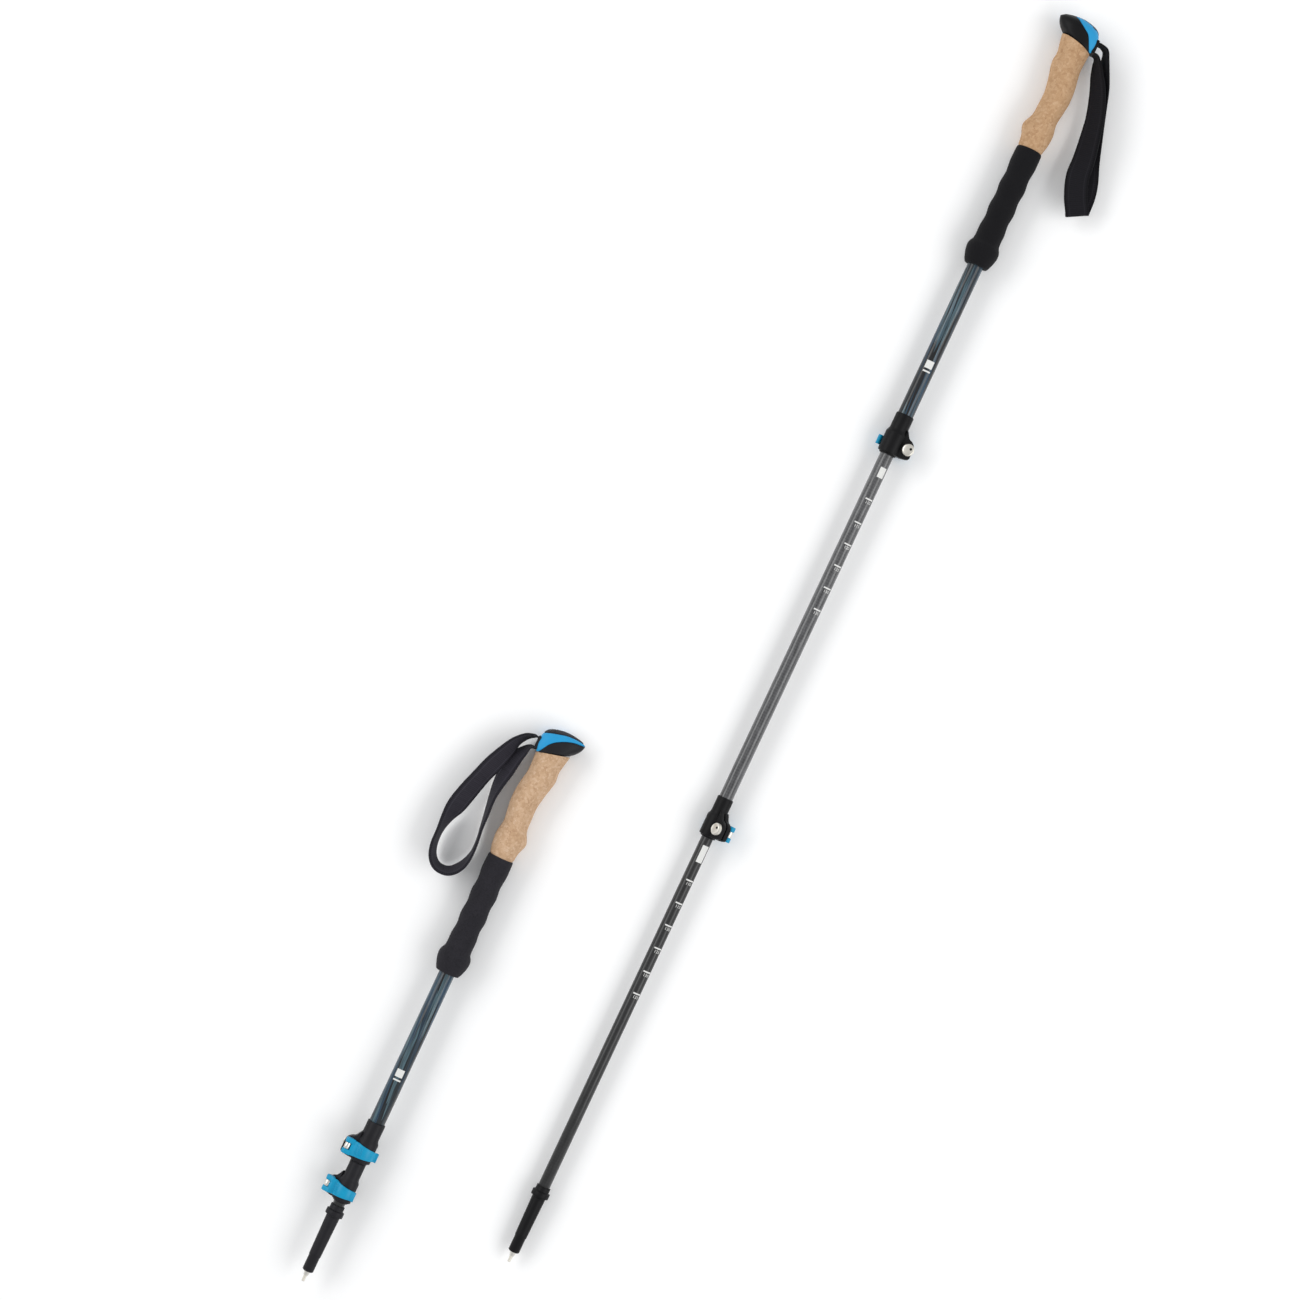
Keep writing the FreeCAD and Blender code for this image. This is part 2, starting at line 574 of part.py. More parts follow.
def pole_pieces(doc, pole):
    """Every piece of one pole, as (name, object, section, height of its own origin)."""
    upper = [("head_shell", head_shell(doc)), ("head_overmould", head_overmould(doc)),
             ("head_top_pad", head_top_pad(doc)), ("strap_pin", strap_pin(doc)),
             ("strap_wedge", strap_wedge(doc)), ("strap_root", strap_root(doc)),
             ("strap_loop", strap_loop(doc, pole)), ("grip_core", grip_core(doc)),
             ("cork_grip", cork_grip(doc)), ("foam_grip", foam_grip(doc))]
    pieces = [(name, obj, "upper", 0.0) for name, obj in upper]
    pieces.append(("upper_tube", plain_tube(doc, "upper_tube_radius", "upper_tube_bore",
                                            "upper_tube_length"),
                   "upper", SIZES["upper_tube_end"]))
    pieces.append(("middle_tube", plain_tube(doc, "middle_tube_radius", "middle_tube_bore",
                                             "middle_tube_length"),
                   "middle", SIZES["middle_tube_end"]))
    pieces.append(("middle_bushing", bushing(doc, "upper_tube_bore", "middle_tube_bore"),
                   "middle", SIZES["middle_tube_end"] + SIZES["middle_tube_length"]))
    pieces.append(("lower_tube", plain_tube(doc, "lower_tube_radius", "lower_tube_bore",
                                            "lower_tube_length"),
                   "lower", SIZES["lower_tube_end"]))
    pieces.append(("lower_bushing", bushing(doc, "middle_tube_bore", "lower_tube_bore"),
                   "lower", SIZES["lower_tube_end"] + SIZES["lower_tube_length"]))
    for tube, inner_tube in (("upper", "middle"), ("middle", "lower")):
        lock = "upper" if tube == "upper" else "lower"
        for name, obj in lock_pieces(doc, tube, inner_tube):
            pieces.append(("%s_lock_%s" % (lock, name), obj, tube, SIZES[lock + "_screw"]))
    stem_end = SIZES["stem_top"] - SIZES["stem_length"]
    pieces.append(("tip_stem", tip_stem(doc), "lower", SIZES["stem_top"]))
    pieces.append(("tip_holder", tip_holder(doc), "lower", stem_end))
    pieces.append(("carbide_tip", carbide_tip(doc), "lower",
                   stem_end - SIZES["ferrule_length"] + SIZES["tip_socket"]))
    return pieces


def piece_placement(pole, section, height):
    own = FreeCAD.Placement(V(0, 0, height), ALONG_Z)
    return pole_placement(pole).multiply(section_placement(pole, section)).multiply(own)


def centre_on_floor(parts):
    """Moves every piece so that the row's origin is the bottom centre of the pair."""
    total = FreeCAD.BoundBox()
    for part in parts:
        total.add(part.Shape.optimalBoundingBox(True, False))
    shift = V(-total.Center.x, -total.Center.y, -total.ZMin)
    for part in parts:
        part.Placement = FreeCAD.Placement(part.Placement.Base + shift, part.Placement.Rotation)
    return shift


def check_document(doc, parts):
    """Stops if any object failed or any sub-part isn't one valid solid."""
    faults = [obj.Label for obj in doc.Objects if "Invalid" in obj.State or "Error" in obj.State]
    for part in parts:
        shape = part.Shape
        if shape.isNull() or not shape.isValid() or len(shape.Solids) != 1:
            faults.append("%s (%d solids)" % (part.Label, len(shape.Solids)))
    if faults:
        raise RuntimeError("not sound: " + ", ".join(faults))


def build():
    doc = FreeCAD.newDocument("TrekkingPoles")
    make_sheet(doc)
    parts = []
    for pole in POLES:
        for name, obj, section, height in pole_pieces(doc, pole):
            obj.Label = "%s_%s" % (pole["name"], name)
            obj.Placement = piece_placement(pole, section, height).multiply(obj.Placement)
            parts.append(obj)
    doc.recompute()
    shift = centre_on_floor(parts)
    doc.recompute()
    check_document(doc, parts)
    return parts, shift


def main():
    parts, shift = build()
    os.makedirs("parts", exist_ok=True)
    for part in parts:
        part.Shape.exportStep("parts/%s.step" % part.Label)
    return shift


if __name__ == "__main__":
    main()
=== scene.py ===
"""Looks of a pair of trekking poles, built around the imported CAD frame.

Every piece of a pole is drawn in the pole's own millimetres, as in the CAD: z runs along the
pole towards the head with 0 at the bottom of the foam grip, x towards the horn, y across.
"""
import json
import math

import bmesh
import bpy
from mathutils import Matrix, Vector


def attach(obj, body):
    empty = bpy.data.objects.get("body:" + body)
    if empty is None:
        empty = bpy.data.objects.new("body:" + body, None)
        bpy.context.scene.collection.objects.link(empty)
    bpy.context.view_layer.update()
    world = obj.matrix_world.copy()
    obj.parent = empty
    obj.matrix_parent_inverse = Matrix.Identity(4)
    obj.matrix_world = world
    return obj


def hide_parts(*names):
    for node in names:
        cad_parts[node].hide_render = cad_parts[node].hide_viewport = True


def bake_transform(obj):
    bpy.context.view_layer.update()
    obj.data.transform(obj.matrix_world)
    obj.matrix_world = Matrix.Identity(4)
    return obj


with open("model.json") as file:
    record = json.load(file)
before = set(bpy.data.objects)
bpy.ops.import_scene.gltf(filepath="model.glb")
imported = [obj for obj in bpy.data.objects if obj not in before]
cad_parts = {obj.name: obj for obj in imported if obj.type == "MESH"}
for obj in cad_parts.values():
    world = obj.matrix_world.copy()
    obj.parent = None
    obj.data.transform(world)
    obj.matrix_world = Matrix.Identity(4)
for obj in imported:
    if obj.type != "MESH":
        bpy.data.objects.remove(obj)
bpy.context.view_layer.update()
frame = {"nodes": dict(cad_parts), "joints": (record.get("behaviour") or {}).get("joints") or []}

MM = 0.001
POLES = ("long", "short")

# Camera: straight above, turned about the vertical.
CAMERA_TURN = 25.1
CAMERA_HEIGHT = 3.0
CAMERA_LENS = 84.3
VIEW_FROM_FOAM = (-129.8, -478.6)

# Light: the surround's strength, and each soft box with its place and size (m) and power (W).
SURROUND_STRENGTH = 0.64
SOFT_BOXES = (
    ("right_box", (2.2, 0.1, 1.95), (3.4, 1.5), 42),
    ("left_box", (-2.2, 0.3, 1.75), (3.4, 1.3), 38),
)

# Places shared with the CAD, in a pole's own millimetres.
STRAP_HINGE = (-18.6, 0.0, 243.6)
LOWER_NUT = (-15.6, 8.6, -610.0)
LOCKS = {
    "upper": {"tube": 8.0, "inner": 7.0, "screw": -193.0, "section": "upper"},
    "lower": {"tube": 7.0, "inner": 6.0, "screw": -610.0, "section": "middle"},
}
FOAM_LENGTH = 125.7
CORE_REACH = 10.15
SLEEVE_WALL = 1.2
BAND_WALL = 3.0
LOCK_TOP = 30.8
LOCK_BOTTOM = 10.4
LIP_HEIGHT = 1.5
BAND_TOP = 11.8
EAR_REACH = 10.5
SCREW_REACH = 5.6
PIVOT_DEPTH = 10.4
LEVER_GAP = 0.35
CAM_RADIUS = 3.8

# Cork sections: height, reach to the front, to the back and to each side.
CORK_SECTIONS = [
    (125.7, 12.6, 12.2, 13.0), (136.0, 13.9, 14.5, 14.6), (147.0, 17.2, 15.3, 15.6),
    (159.5, 12.4, 13.4, 13.6), (172.0, 11.6, 14.9, 14.0), (184.0, 11.3, 16.2, 14.4),
    (199.0, 13.8, 15.3, 14.4), (214.5, 17.2, 12.7, 14.0), (225.0, 16.4, 12.8, 14.0),
    (237.0, 18.6, 13.8, 15.0), (248.0, 20.4, 15.2, 15.4),
]
CORK_TOP_BACK = (-13.6, 234.6)
CORK_TOP_FRONT = (18.9, 244.2)

# The head in side view: its underside, its top and its seams, as (x, height).
HEAD_FLOOR = [(-15.9, 246.6), (-15.6, 243.0), (-15.0, 239.5), (-14.2, 236.6), (-13.4, 234.8),
              (-11.0, 235.4), (18.9, 244.2), (22.8, 247.2), (26.4, 251.8), (28.2, 255.6),
              (28.9, 259.0)]
HEAD_ROOF = [(-15.9, 247.0), (-15.5, 251.0), (-14.7, 254.4), (-13.4, 257.2), (-11.0, 259.9),
             (-6.9, 262.2), (0.0, 263.9), (6.2, 264.7), (14.8, 264.3), (22.6, 262.9),
             (27.0, 261.2), (28.9, 259.4)]
HEAD_PLAN = [(-15.9, 2.0), (-15.6, 7.0), (-15.0, 9.6), (-14.0, 11.4), (-12.0, 12.9),
             (-8.0, 14.1), (0.0, 14.8), (9.0, 14.4), (15.0, 13.2), (20.0, 11.0), (24.5, 8.0),
             (27.2, 5.2), (28.4, 3.0), (28.9, 0.6)]
NUT_SIDE_SEAM = [(-11.5, 234.7), (-7.4, 242.8), (-3.8, 249.5), (1.2, 253.7), (6.9, 258.0),
                 (12.3, 262.4), (18.5, 264.2), (28.9, 262.0)]
LEVER_SIDE_SEAM = [(-11.5, 234.7), (-8.0, 240.5), (-4.7, 246.0), (-0.5, 250.2), (4.0, 253.2),
                   (10.5, 256.4), (18.5, 258.7), (25.8, 259.2), (28.9, 259.3)]
PAD_SEAM = [(-15.9, 253.5), (-13.4, 255.8), (-9.0, 257.6), (-0.7, 259.9), (8.0, 261.9),
            (15.0, 262.4), (22.0, 261.9), (28.9, 260.6)]

# Middle line of each wrist loop: distance behind the axis, height, distance to the nut side
# and twist; the same as in the CAD.
LOOPS = {
    "long": [(20.4, 248.5, 0, 0), (26.6, 245.5, 0, 8), (30.2, 236.5, -0.5, 16),
             (33.6, 225.0, -1.5, 28), (38.4, 209.5, -2.4, 40), (43.0, 192.0, -3.0, 46),
             (50.4, 165.5, -3.0, 54), (58.0, 139.0, -3.0, 68), (64.6, 121.0, -3.0, 82),
             (67.8, 107.5, -3.0, 90), (68.6, 92.2, -2.4, 90), (69.4, 88.3, -1.2, 90),
             (69.4, 88.3, 1.2, 90), (67.0, 92.0, 2.4, 90), (60.4, 103.4, 2.8, 90),
             (54.0, 121.0, 3.0, 84), (52.2, 140.0, 3.0, 66), (48.2, 164.5, 3.0, 52),
             (44.0, 184.0, 3.0, 45), (36.2, 205.5, 2.4, 39), (28.8, 220.0, 1.5, 31),
             (24.2, 229.5, 0.5, 20), (20.4, 236.5, 0, 6)],
    "short": [(20.4, 248.5, 0, 10), (27.5, 244.6, 0, 19), (34.4, 236.2, -1.5, 27),
              (38.4, 226.0, -3.0, 40), (45.4, 208.0, -3.2, 50), (51.4, 191.0, -3.0, 47),
              (57.2, 171.5, -2.0, 52), (61.6, 154.0, -0.8, 50), (64.9, 139.5, 0, 27),
              (66.2, 125.0, 0, 12), (65.8, 110.5, 0, 11), (62.4, 99.5, 0, 12),
              (56.0, 92.4, 0, 14), (48.2, 90.4, 0, 16), (40.3, 92.4, 0, 18),
              (33.6, 99.2, 0, 18), (29.4, 108.5, 0, 13), (27.7, 119.0, 0, 7),
              (28.2, 131.0, 0, 5), (29.9, 144.0, 0, 6), (31.2, 158.0, 0.6, 11),
              (33.1, 175.5, 1.6, 17), (33.0, 192.0, 2.6, 31), (31.4, 207.0, 2.8, 45),
              (28.6, 220.0, 1.8, 43), (24.8, 229.3, 0.5, 33), (20.4, 236.6, 0, 12)],
}
NUT_SIDE_PAD = 0.3
WEDGE_SLOT = ((-9.0, -4.0), 9.7)
WEDGE_BOTTOM = 248.3
LOOP_FOLD = {"long": (-0.872, 0.490), "short": None}


# ---------------- frames of the sections

def joint(name):
    return next(found for found in frame["joints"] if found["name"] == name)


def own_frame(along, across, point, local_point):
    """Takes a pole's own millimetres to the row frame, from two axes and one known point."""
    z = Vector(along).normalized()
    y = Vector(across).normalized()
    x = y.cross(z)
    turn = Matrix((x, y, z)).transposed()
    origin = Vector(point) - turn @ (Vector(local_point) * MM)
    return Matrix.Translation(origin) @ turn.to_4x4() @ Matrix.Scale(MM, 4)


def section_frames(pole):
    """The frames of a pole's upper, middle and lower sections at rest."""
    along = joint(pole + "_middle_slide")["axis"]
    hinge = joint(pole + "_strap_swing")
    nut = joint(pole + "_lower_nut_turn")
    upper = own_frame(along, hinge["axis"], hinge["pos_m"], STRAP_HINGE)
    middle = own_frame(along, nut["axis"], nut["pos_m"], LOWER_NUT)
    pushed_in = -joint(pole + "_lower_slide")["range_m"][0] / MM
    lower = middle @ Matrix.Translation((0, 0, pushed_in))
    return {"upper": upper, "middle": middle, "lower": lower}


FRAMES = {pole: section_frames(pole) for pole in POLES}


# ---------------- camera and light

def make_camera():
    foam = FRAMES["long"]["upper"].translation
    right, up = VIEW_FROM_FOAM
    data = bpy.data.cameras.new("camera")
    data.sensor_width = 36.0
    data.lens = CAMERA_LENS
    data.clip_end = 20.0
    camera = bpy.data.objects.new("camera", data)
    bpy.context.scene.collection.objects.link(camera)
    camera.location = (foam.x + right * MM, foam.y + up * MM, foam.z + CAMERA_HEIGHT)
    camera.rotation_euler = (0, 0, math.radians(CAMERA_TURN))
    bpy.context.scene.camera = camera


def add_soft_box(name, spot, size, power):
    """A rectangular light that faces the middle of the poles."""
    data = bpy.data.lights.new(name, "AREA")
    data.shape = "RECTANGLE"
    data.size, data.size_y = size
    data.energy = power
    light = bpy.data.objects.new(name, data)
    bpy.context.scene.collection.objects.link(light)
    light.location = spot
    light.rotation_euler = (-Vector(spot)).to_track_quat("-Z", "Y").to_euler()


def make_lights():
    """An even studio: a pale surround and two long soft boxes beside the poles."""
    world = bpy.data.worlds.new("studio")
    world.use_nodes = True
    background = world.node_tree.nodes["Background"]
    background.inputs["Color"].default_value = (0.98, 0.99, 1.0, 1)
    background.inputs["Strength"].default_value = SURROUND_STRENGTH
    scene = bpy.context.scene
    scene.world = world
    scene.view_settings.view_transform = "Standard"
    for name, spot, size, power in SOFT_BOXES:
        add_soft_box(name, spot, size, power)


# ---------------- mesh helpers

def curve_at(points, position):
    """Value of a list of (position, value) at a position, smooth between the points."""
    if position <= points[0][0]:
        return points[0][1]
    for index in range(len(points) - 1):
        start, end = points[index], points[index + 1]
        if position <= end[0]:
            span = end[0] - start[0]
            share = (position - start[0]) / span
            before = points[max(index - 1, 0)]
            after = points[min(index + 2, len(points) - 1)]
            lead = (end[1] - before[1]) / (end[0] - before[0]) * span
            tail = (after[1] - start[1]) / (after[0] - start[0]) * span
            return hermite(start[1], end[1], lead, tail, share)
    return points[-1][1]


def hermite(start, end, lead, tail, share):
    square = share * share
    cube = square * share
    return ((2 * cube - 3 * square + 1) * start + (cube - 2 * square + share) * lead
            + (3 * square - 2 * cube) * end + (cube - square) * tail)


def through(points, steps):
    """A smooth run of points (tuples of any length) through the given ones."""
    run = []
    for index in range(len(points) - 1):
        start, end = points[index], points[index + 1]
        before = points[index - 1] if index else start
        after = points[index + 2] if index + 2 < len(points) else end
        for step in range(steps):
            share = step / steps
            run.append(tuple(hermite(start[k], end[k], (end[k] - before[k]) / 2,
                                     (after[k] - start[k]) / 2, share)
                             for k in range(len(start))))
    run.append(tuple(points[-1]))
    return run


def ring_faces(count, size, closed):
    """Quads between neighbouring rings of a grid of points."""
    faces = []
    for ring in range(count - 1):
        for step in range(size if closed else size - 1):
            a = ring * size + step
            b = ring * size + (step + 1) % size
            faces.append((a, b, b + size, a + size))
    return faces


def circle(radius, height, segments, centre=(0, 0)):
    """Points round a circle at a height."""
    turns = [2 * math.pi * step / segments for step in range(segments)]
    return [(centre[0] + radius * math.cos(turn), centre[1] + radius * math.sin(turn), height)
            for turn in turns]


def loft(rings, caps=True, closed=True):
    """Vertices and faces of a skin over rings of equal size."""
    size = len(rings[0])
    verts = [point for ring in rings for point in ring]
    faces = ring_faces(len(rings), size, closed)
    if caps:
        faces.append(tuple(reversed(range(size))))
        faces.append(tuple(range((len(rings) - 1) * size, len(rings) * size)))
    return verts, faces


def revolve(profile, segments=64, centre=(0, 0)):
    """Skin of a profile of (radius, height) turned about z."""
    return loft([circle(radius, height, segments, centre) for radius, height in profile],
                caps=False)


def closed_loft(rings):
    """Skin over rings of equal size, the last one joined to the first."""
    verts, faces = loft(rings + rings[:1], caps=False)
    count = len(verts) - len(rings[0])
    return verts[:count], [tuple(index % count for index in face) for face in faces]


def joined(*parts):
    """Several (vertices, faces) as one."""
    verts, faces = [], []
    for part_verts, part_faces in parts:
        start = len(verts)
        verts += part_verts
        faces += [tuple(start + index for index in face) for face in part_faces]
    return verts, faces


def moved(part, matrix):
    verts, faces = part
    return [tuple(matrix @ Vector(point)) for point in verts], faces


def rectangle(left, right, low, high):
    return [(left, low), (right, low), (right, high), (left, high)]


def rounded_prism(outline, low, high, bevel, steps=3):
    """An outline of (x, y) raised from low to high along z, with rounded rims."""
    levels = []
    for step in range(steps + 1):
        turn = math.pi / 2 * step / steps
        levels.append((bevel * (1 - math.sin(turn)), low + bevel * (1 - math.cos(turn))))
    levels += [(inset, low + high - height) for inset, height in reversed(levels)]
    return loft([[(x, y, height) for x, y in shrunk(outline, inset)]
                 for inset, height in levels])


def shrunk(outline, inset):
    """A closed outline moved inwards along its corner normals."""
    count = len(outline)
    area = sum(outline[i][0] * outline[(i + 1) % count][1]
               - outline[(i + 1) % count][0] * outline[i][1] for i in range(count))
    side = 1 if area > 0 else -1
    result = []
    for index in range(count):
        before = Vector(outline[index - 1])
        here = Vector(outline[index])
        after = Vector(outline[(index + 1) % count])
        tangent = ((here - before).normalized() + (after - here).normalized())
        tangent = tangent.normalized() if tangent.length > 1e-6 else (after - here).normalized()
        result.append((here.x - tangent.y * inset * side, here.y + tangent.x * inset * side))
    return result


def rounded_outline(corners, radius, steps=4):
    """Corners of (x, y) with each one rounded; a corner may give its own radius third."""
    result = []
    count = len(corners)
    for index, corner in enumerate(corners):
        here = Vector(corner[:2])
        before = Vector(corners[index - 1][:2])
        after = Vector(corners[(index + 1) % count][:2])
        reach = corner[2] if len(corner) > 2 else radius
        reach = min(reach, (before - here).length * 0.48, (after - here).length * 0.48)
        start = here + (before - here).normalized() * reach
        end = here + (after - here).normalized() * reach
        for step in range(steps + 1):
            share = step / steps
            point = (start * (1 - share) ** 2 + here * 2 * share * (1 - share)
                     + end * share ** 2)
            result.append((point.x, point.y))
    return result


def add_piece(name, part, matrix, material, sharp=34.0):
    """A mesh object from own millimetres, welded, smooth, with its normals outwards."""
    verts, faces = part
    mesh = bpy.data.meshes.new(name)
    mesh.from_pydata([matrix @ Vector(point) for point in verts], [], faces)
    work = bmesh.new()
    work.from_mesh(mesh)
    bmesh.ops.remove_doubles(work, verts=work.verts, dist=2e-6)
    bmesh.ops.dissolve_degenerate(work, edges=work.edges, dist=1e-6)
    bmesh.ops.recalc_face_normals(work, faces=work.faces)
    for face in work.faces:
        face.smooth = True
    work.to_mesh(mesh)
    work.free()
    mesh.set_sharp_from_angle(angle=math.radians(sharp))
    piece = bpy.data.objects.new(name, mesh)
    bpy.context.scene.collection.objects.link(piece)
    if material:
        mesh.materials.append(material)
    return piece


def settle(piece):
    """Applies a piece's modifiers to its mesh."""
    evaluated = piece.evaluated_get(bpy.context.evaluated_depsgraph_get())
    mesh = bpy.data.meshes.new_from_object(evaluated)
    piece.modifiers.clear()
    piece.data = mesh


def smooth_once(piece):
    """Adds one level of subdivision."""
    smooth = piece.modifiers.new("smooth", "SUBSURF")
    smooth.levels = 1
    smooth.render_levels = 1


def add_part(pole, name, skin, matrix, look, body, slot, *nodes, sharp=34.0):
    """A visible piece of a pole that rides on a body and stands for CAD nodes; its slot is not
    used.
    """
    piece = add_piece("%s_%s" % (pole, name), skin, matrix, MATERIALS[pole][look], sharp)
    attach(piece, "%s_%s" % (pole, body))
    if nodes:
        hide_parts(*["%s_%s" % (pole, node) for node in nodes])
    return piece


def polar(radius, turn, *rest):
    """Point at a radius and an angle about z, with its height if one is given."""
    return (radius * math.cos(turn), radius * math.sin(turn), *rest)


# ---------------- materials

class Shader:
    """A material under construction: nodes are added by kind and linked by socket name."""

    def __init__(self, name, **settings):
        self.material = bpy.data.materials.new(name)
        self.material.use_nodes = True
        self.tree = self.material.node_tree
        self.surface = self.tree.nodes["Principled BSDF"]
        for socket, value in settings.items():
            self.surface.inputs[socket.replace("_", " ")].default_value = value

    def feed(self, socket, value):
        """Links a socket to another one's output, or gives it a plain value."""
        if isinstance(value, bpy.types.NodeSocket):
            self.tree.links.new(value, socket)
        elif socket.type == "RGBA":
            socket.default_value = (*value, 1.0)
        else:
            socket.default_value = value

    def node(self, kind, values, **settings):
        made = self.tree.nodes.new("ShaderNode" + kind)
        for name, value in settings.items():
            setattr(made, name, value)
        for socket, value in values.items():
            self.feed(made.inputs[socket], value)
        return made

    def math(self, operation, first, second=0.0):
        return self.node("Math", {0: first, 1: second}, operation=operation).outputs[0]

    def times(self, first, second):
        return self.math("MULTIPLY", first, second)

    def plus(self, first, second):
        return self.math("ADD", first, second)

    def minus(self, first, second):
        return self.math("SUBTRACT", first, second)

    def above(self, value, limit):
        return self.math("GREATER_THAN", value, limit)

    def below(self, value, limit):
        return self.math("LESS_THAN", value, limit)

    def wave(self, value):
        return self.math("SINE", value)

    def noise(self, vector, scale, detail=4.0, roughness=0.55):
        return self.node("TexNoise", {"Vector": vector, "Scale": scale, "Detail": detail,
                                      "Roughness": roughness}).outputs["Fac"]

    def cells(self, vector, scale, output="Distance", feature="F1"):
        return self.node("TexVoronoi", {"Vector": vector, "Scale": scale},
                         feature=feature).outputs[output]

    def cell_value(self, vector, scale):
        """One random number for each cell."""
        colour = self.cells(vector, scale, "Color")
        return self.node("SeparateColor", {"Color": colour}).outputs[0]

    def ramp(self, factor, stops):
        made = self.node("ValToRGB", {"Fac": factor})
        elements = made.color_ramp.elements
        while len(elements) < len(stops):
            elements.new(0.5)
        for element, (position, colour) in zip(elements, stops):
            element.position = position
            element.color = (*colour, 1.0)
        return made.outputs["Color"]

    def mix(self, factor, first, second, blend="MIX"):
        made = self.node("Mix", {}, data_type="RGBA", blend_type=blend)
        for index, value in ((0, factor), (6, first), (7, second)):
            self.feed(made.inputs[index], value)
        return made.outputs[2]

    def spread(self, factor, low, high):
        """Maps 0..1 to low..high."""
        return self.node("MapRange", {"Value": factor, "To Min": low,
                                      "To Max": high}).outputs[0]

    def split(self, vector):
        return self.node("SeparateXYZ", {0: vector}).outputs

    def point(self, x, y, z):
        return self.node("CombineXYZ", {0: x, 1: y, 2: z}).outputs[0]

    def scaled(self, vector, factors):
        return self.node("VectorMath", {0: vector, 1: factors}, operation="MULTIPLY").outputs[0]

    def own(self, scale=1000.0):
        """Object coordinates, in millimetres unless another scale is given."""
        return self.scaled(self.node("TexCoord", {}).outputs["Object"], (scale,) * 3)

    def in_frame(self, matrix):
        """Object coordinates taken to a section's own millimetres."""
        origin, turn, scale = matrix.decompose()
        return self.node("Mapping", {"Vector": self.node("TexCoord", {}).outputs["Object"],
                                     "Location": origin, "Rotation": turn.to_euler(),
                                     "Scale": scale}, vector_type="TEXTURE").outputs[0]

    def round_tube(self, matrix, radius):
        """Distance round a tube and height along it, in millimetres."""
        x, y, height = self.split(self.in_frame(matrix))
        return self.times(self.math("ARCTAN2", y, x), radius), height

    def finish(self, colour, roughness=None, bump=None, strength=0.3, distance=0.0003):
        self.feed(self.surface.inputs["Base Color"], colour)
        if roughness is not None:
            self.feed(self.surface.inputs["Roughness"], roughness)
        if bump is not None:
            bumped = self.node("Bump", {"Height": bump, "Strength": strength,
                                        "Distance": distance})
            self.feed(self.surface.inputs["Normal"], bumped.outputs["Normal"])
        return self.material


# Painted shade: each pole's blacks and its cork are scaled per pole to copy how that pole was
# lit; the long one is darker and the short one's cork a little bluer.
POLE_SHADES = {"long": (0.32, 0.32, 0.33), "short": (0.95, 0.93, 1.0)}
CORK_POLE_SHADES = {"long": (0.88, 0.88, 0.88), "short": (0.98, 1.04, 1.16)}
CORK_BROWNS = ((0.18, (0.42, 0.24, 0.125)), (0.42, (0.54, 0.335, 0.185)),
               (0.62, (0.60, 0.385, 0.225)), (0.88, (0.68, 0.475, 0.305)))
GRANULE_SCALE = 0.42


def pole_shaded(colour, tone):
    return tuple(part * share for part, share in zip(colour, tone))


def make_cork(pole):
    """Pressed cork: granules of several browns with dark specks and fine joints."""
    shader = Shader(pole + "_cork", Specular_IOR_Level=0.12)
    own = shader.own()
    patches = shader.noise(own, 0.11, 5.0, 0.6)
    granules = shader.cell_value(own, GRANULE_SCALE)
    tone = shader.plus(shader.times(patches, 0.62), shader.times(granules, 0.36))
    # The browns carry the pole's painted shade: darker on the long pole, a little bluer on the
    # short one.
    colour = shader.ramp(tone, [(stop, pole_shaded(brown, CORK_POLE_SHADES[pole]))
                                for stop, brown in CORK_BROWNS])
    specks = shader.above(shader.noise(own, 0.9, 3.0, 0.7), 0.665)
    colour = shader.mix(specks, colour, (0.25, 0.13, 0.06))
    joints = shader.below(shader.cells(own, GRANULE_SCALE, "Distance", "DISTANCE_TO_EDGE"),
                          0.035)
    colour = shader.mix(shader.times(joints, 0.28), colour, (0.34, 0.19, 0.10))
    pits = shader.plus(shader.times(specks, 0.8), shader.times(joints, 0.25))
    height = shader.minus(shader.times(patches, 0.6), pits)
    return shader.finish(colour, shader.spread(patches, 0.62, 0.9), height, 0.5, 0.0003)


def make_foam(pole):
    """Closed-cell foam with fine open pores, darkened with painted shade."""
    # tone is this pole's painted shade, darker on the long pole.
    tone = POLE_SHADES[pole]
    shader = Shader(pole + "_foam", Specular_IOR_Level=0.10, Sheen_Weight=0.04,
                    Sheen_Roughness=0.6)
    own = shader.own()
    cells = shader.cells(own, 1.6)
    clouds = shader.noise(own, 0.06, 4.0)
    colour = shader.mix(clouds, pole_shaded((0.016, 0.0155, 0.018), tone),
                        pole_shaded((0.030, 0.029, 0.033), tone))
    # Painted shade: the pores are coloured near-black where the bump sinks them, as shade in
    # their hollows.
    pores = shader.times(shader.above(cells, 0.62), 0.5)
    colour = shader.mix(pores, colour, (0.004, 0.004, 0.005))
    height = shader.plus(shader.times(cells, -0.8), shader.noise(own, 4.0, 2.0))
    return shader.finish(colour, shader.spread(clouds, 0.78, 0.95), height, 0.45, 0.00025)


def make_moulded(name, dark, light, rough=(0.38, 0.55), grain=3.0, strength=0.14, gloss=0.15):
    """Moulded plastic or rubber with a fine spark-eroded texture and faint scuffs."""
    shader = Shader(name, Specular_IOR_Level=gloss)
    own = shader.own()
    clouds = shader.noise(own, 0.09, 5.0)
    texture = shader.cells(own, grain)
    scuffs = shader.noise(own, 0.5, 6.0, 0.7)
    worn = tuple(min(1.0, part * 1.5 + 0.008) for part in light)
    marks = shader.times(shader.above(scuffs, 0.68), 0.15)
    colour = shader.mix(marks, shader.mix(clouds, dark, light), worn)
    return shader.finish(colour, shader.spread(scuffs, *rough), texture, strength, 0.0001)


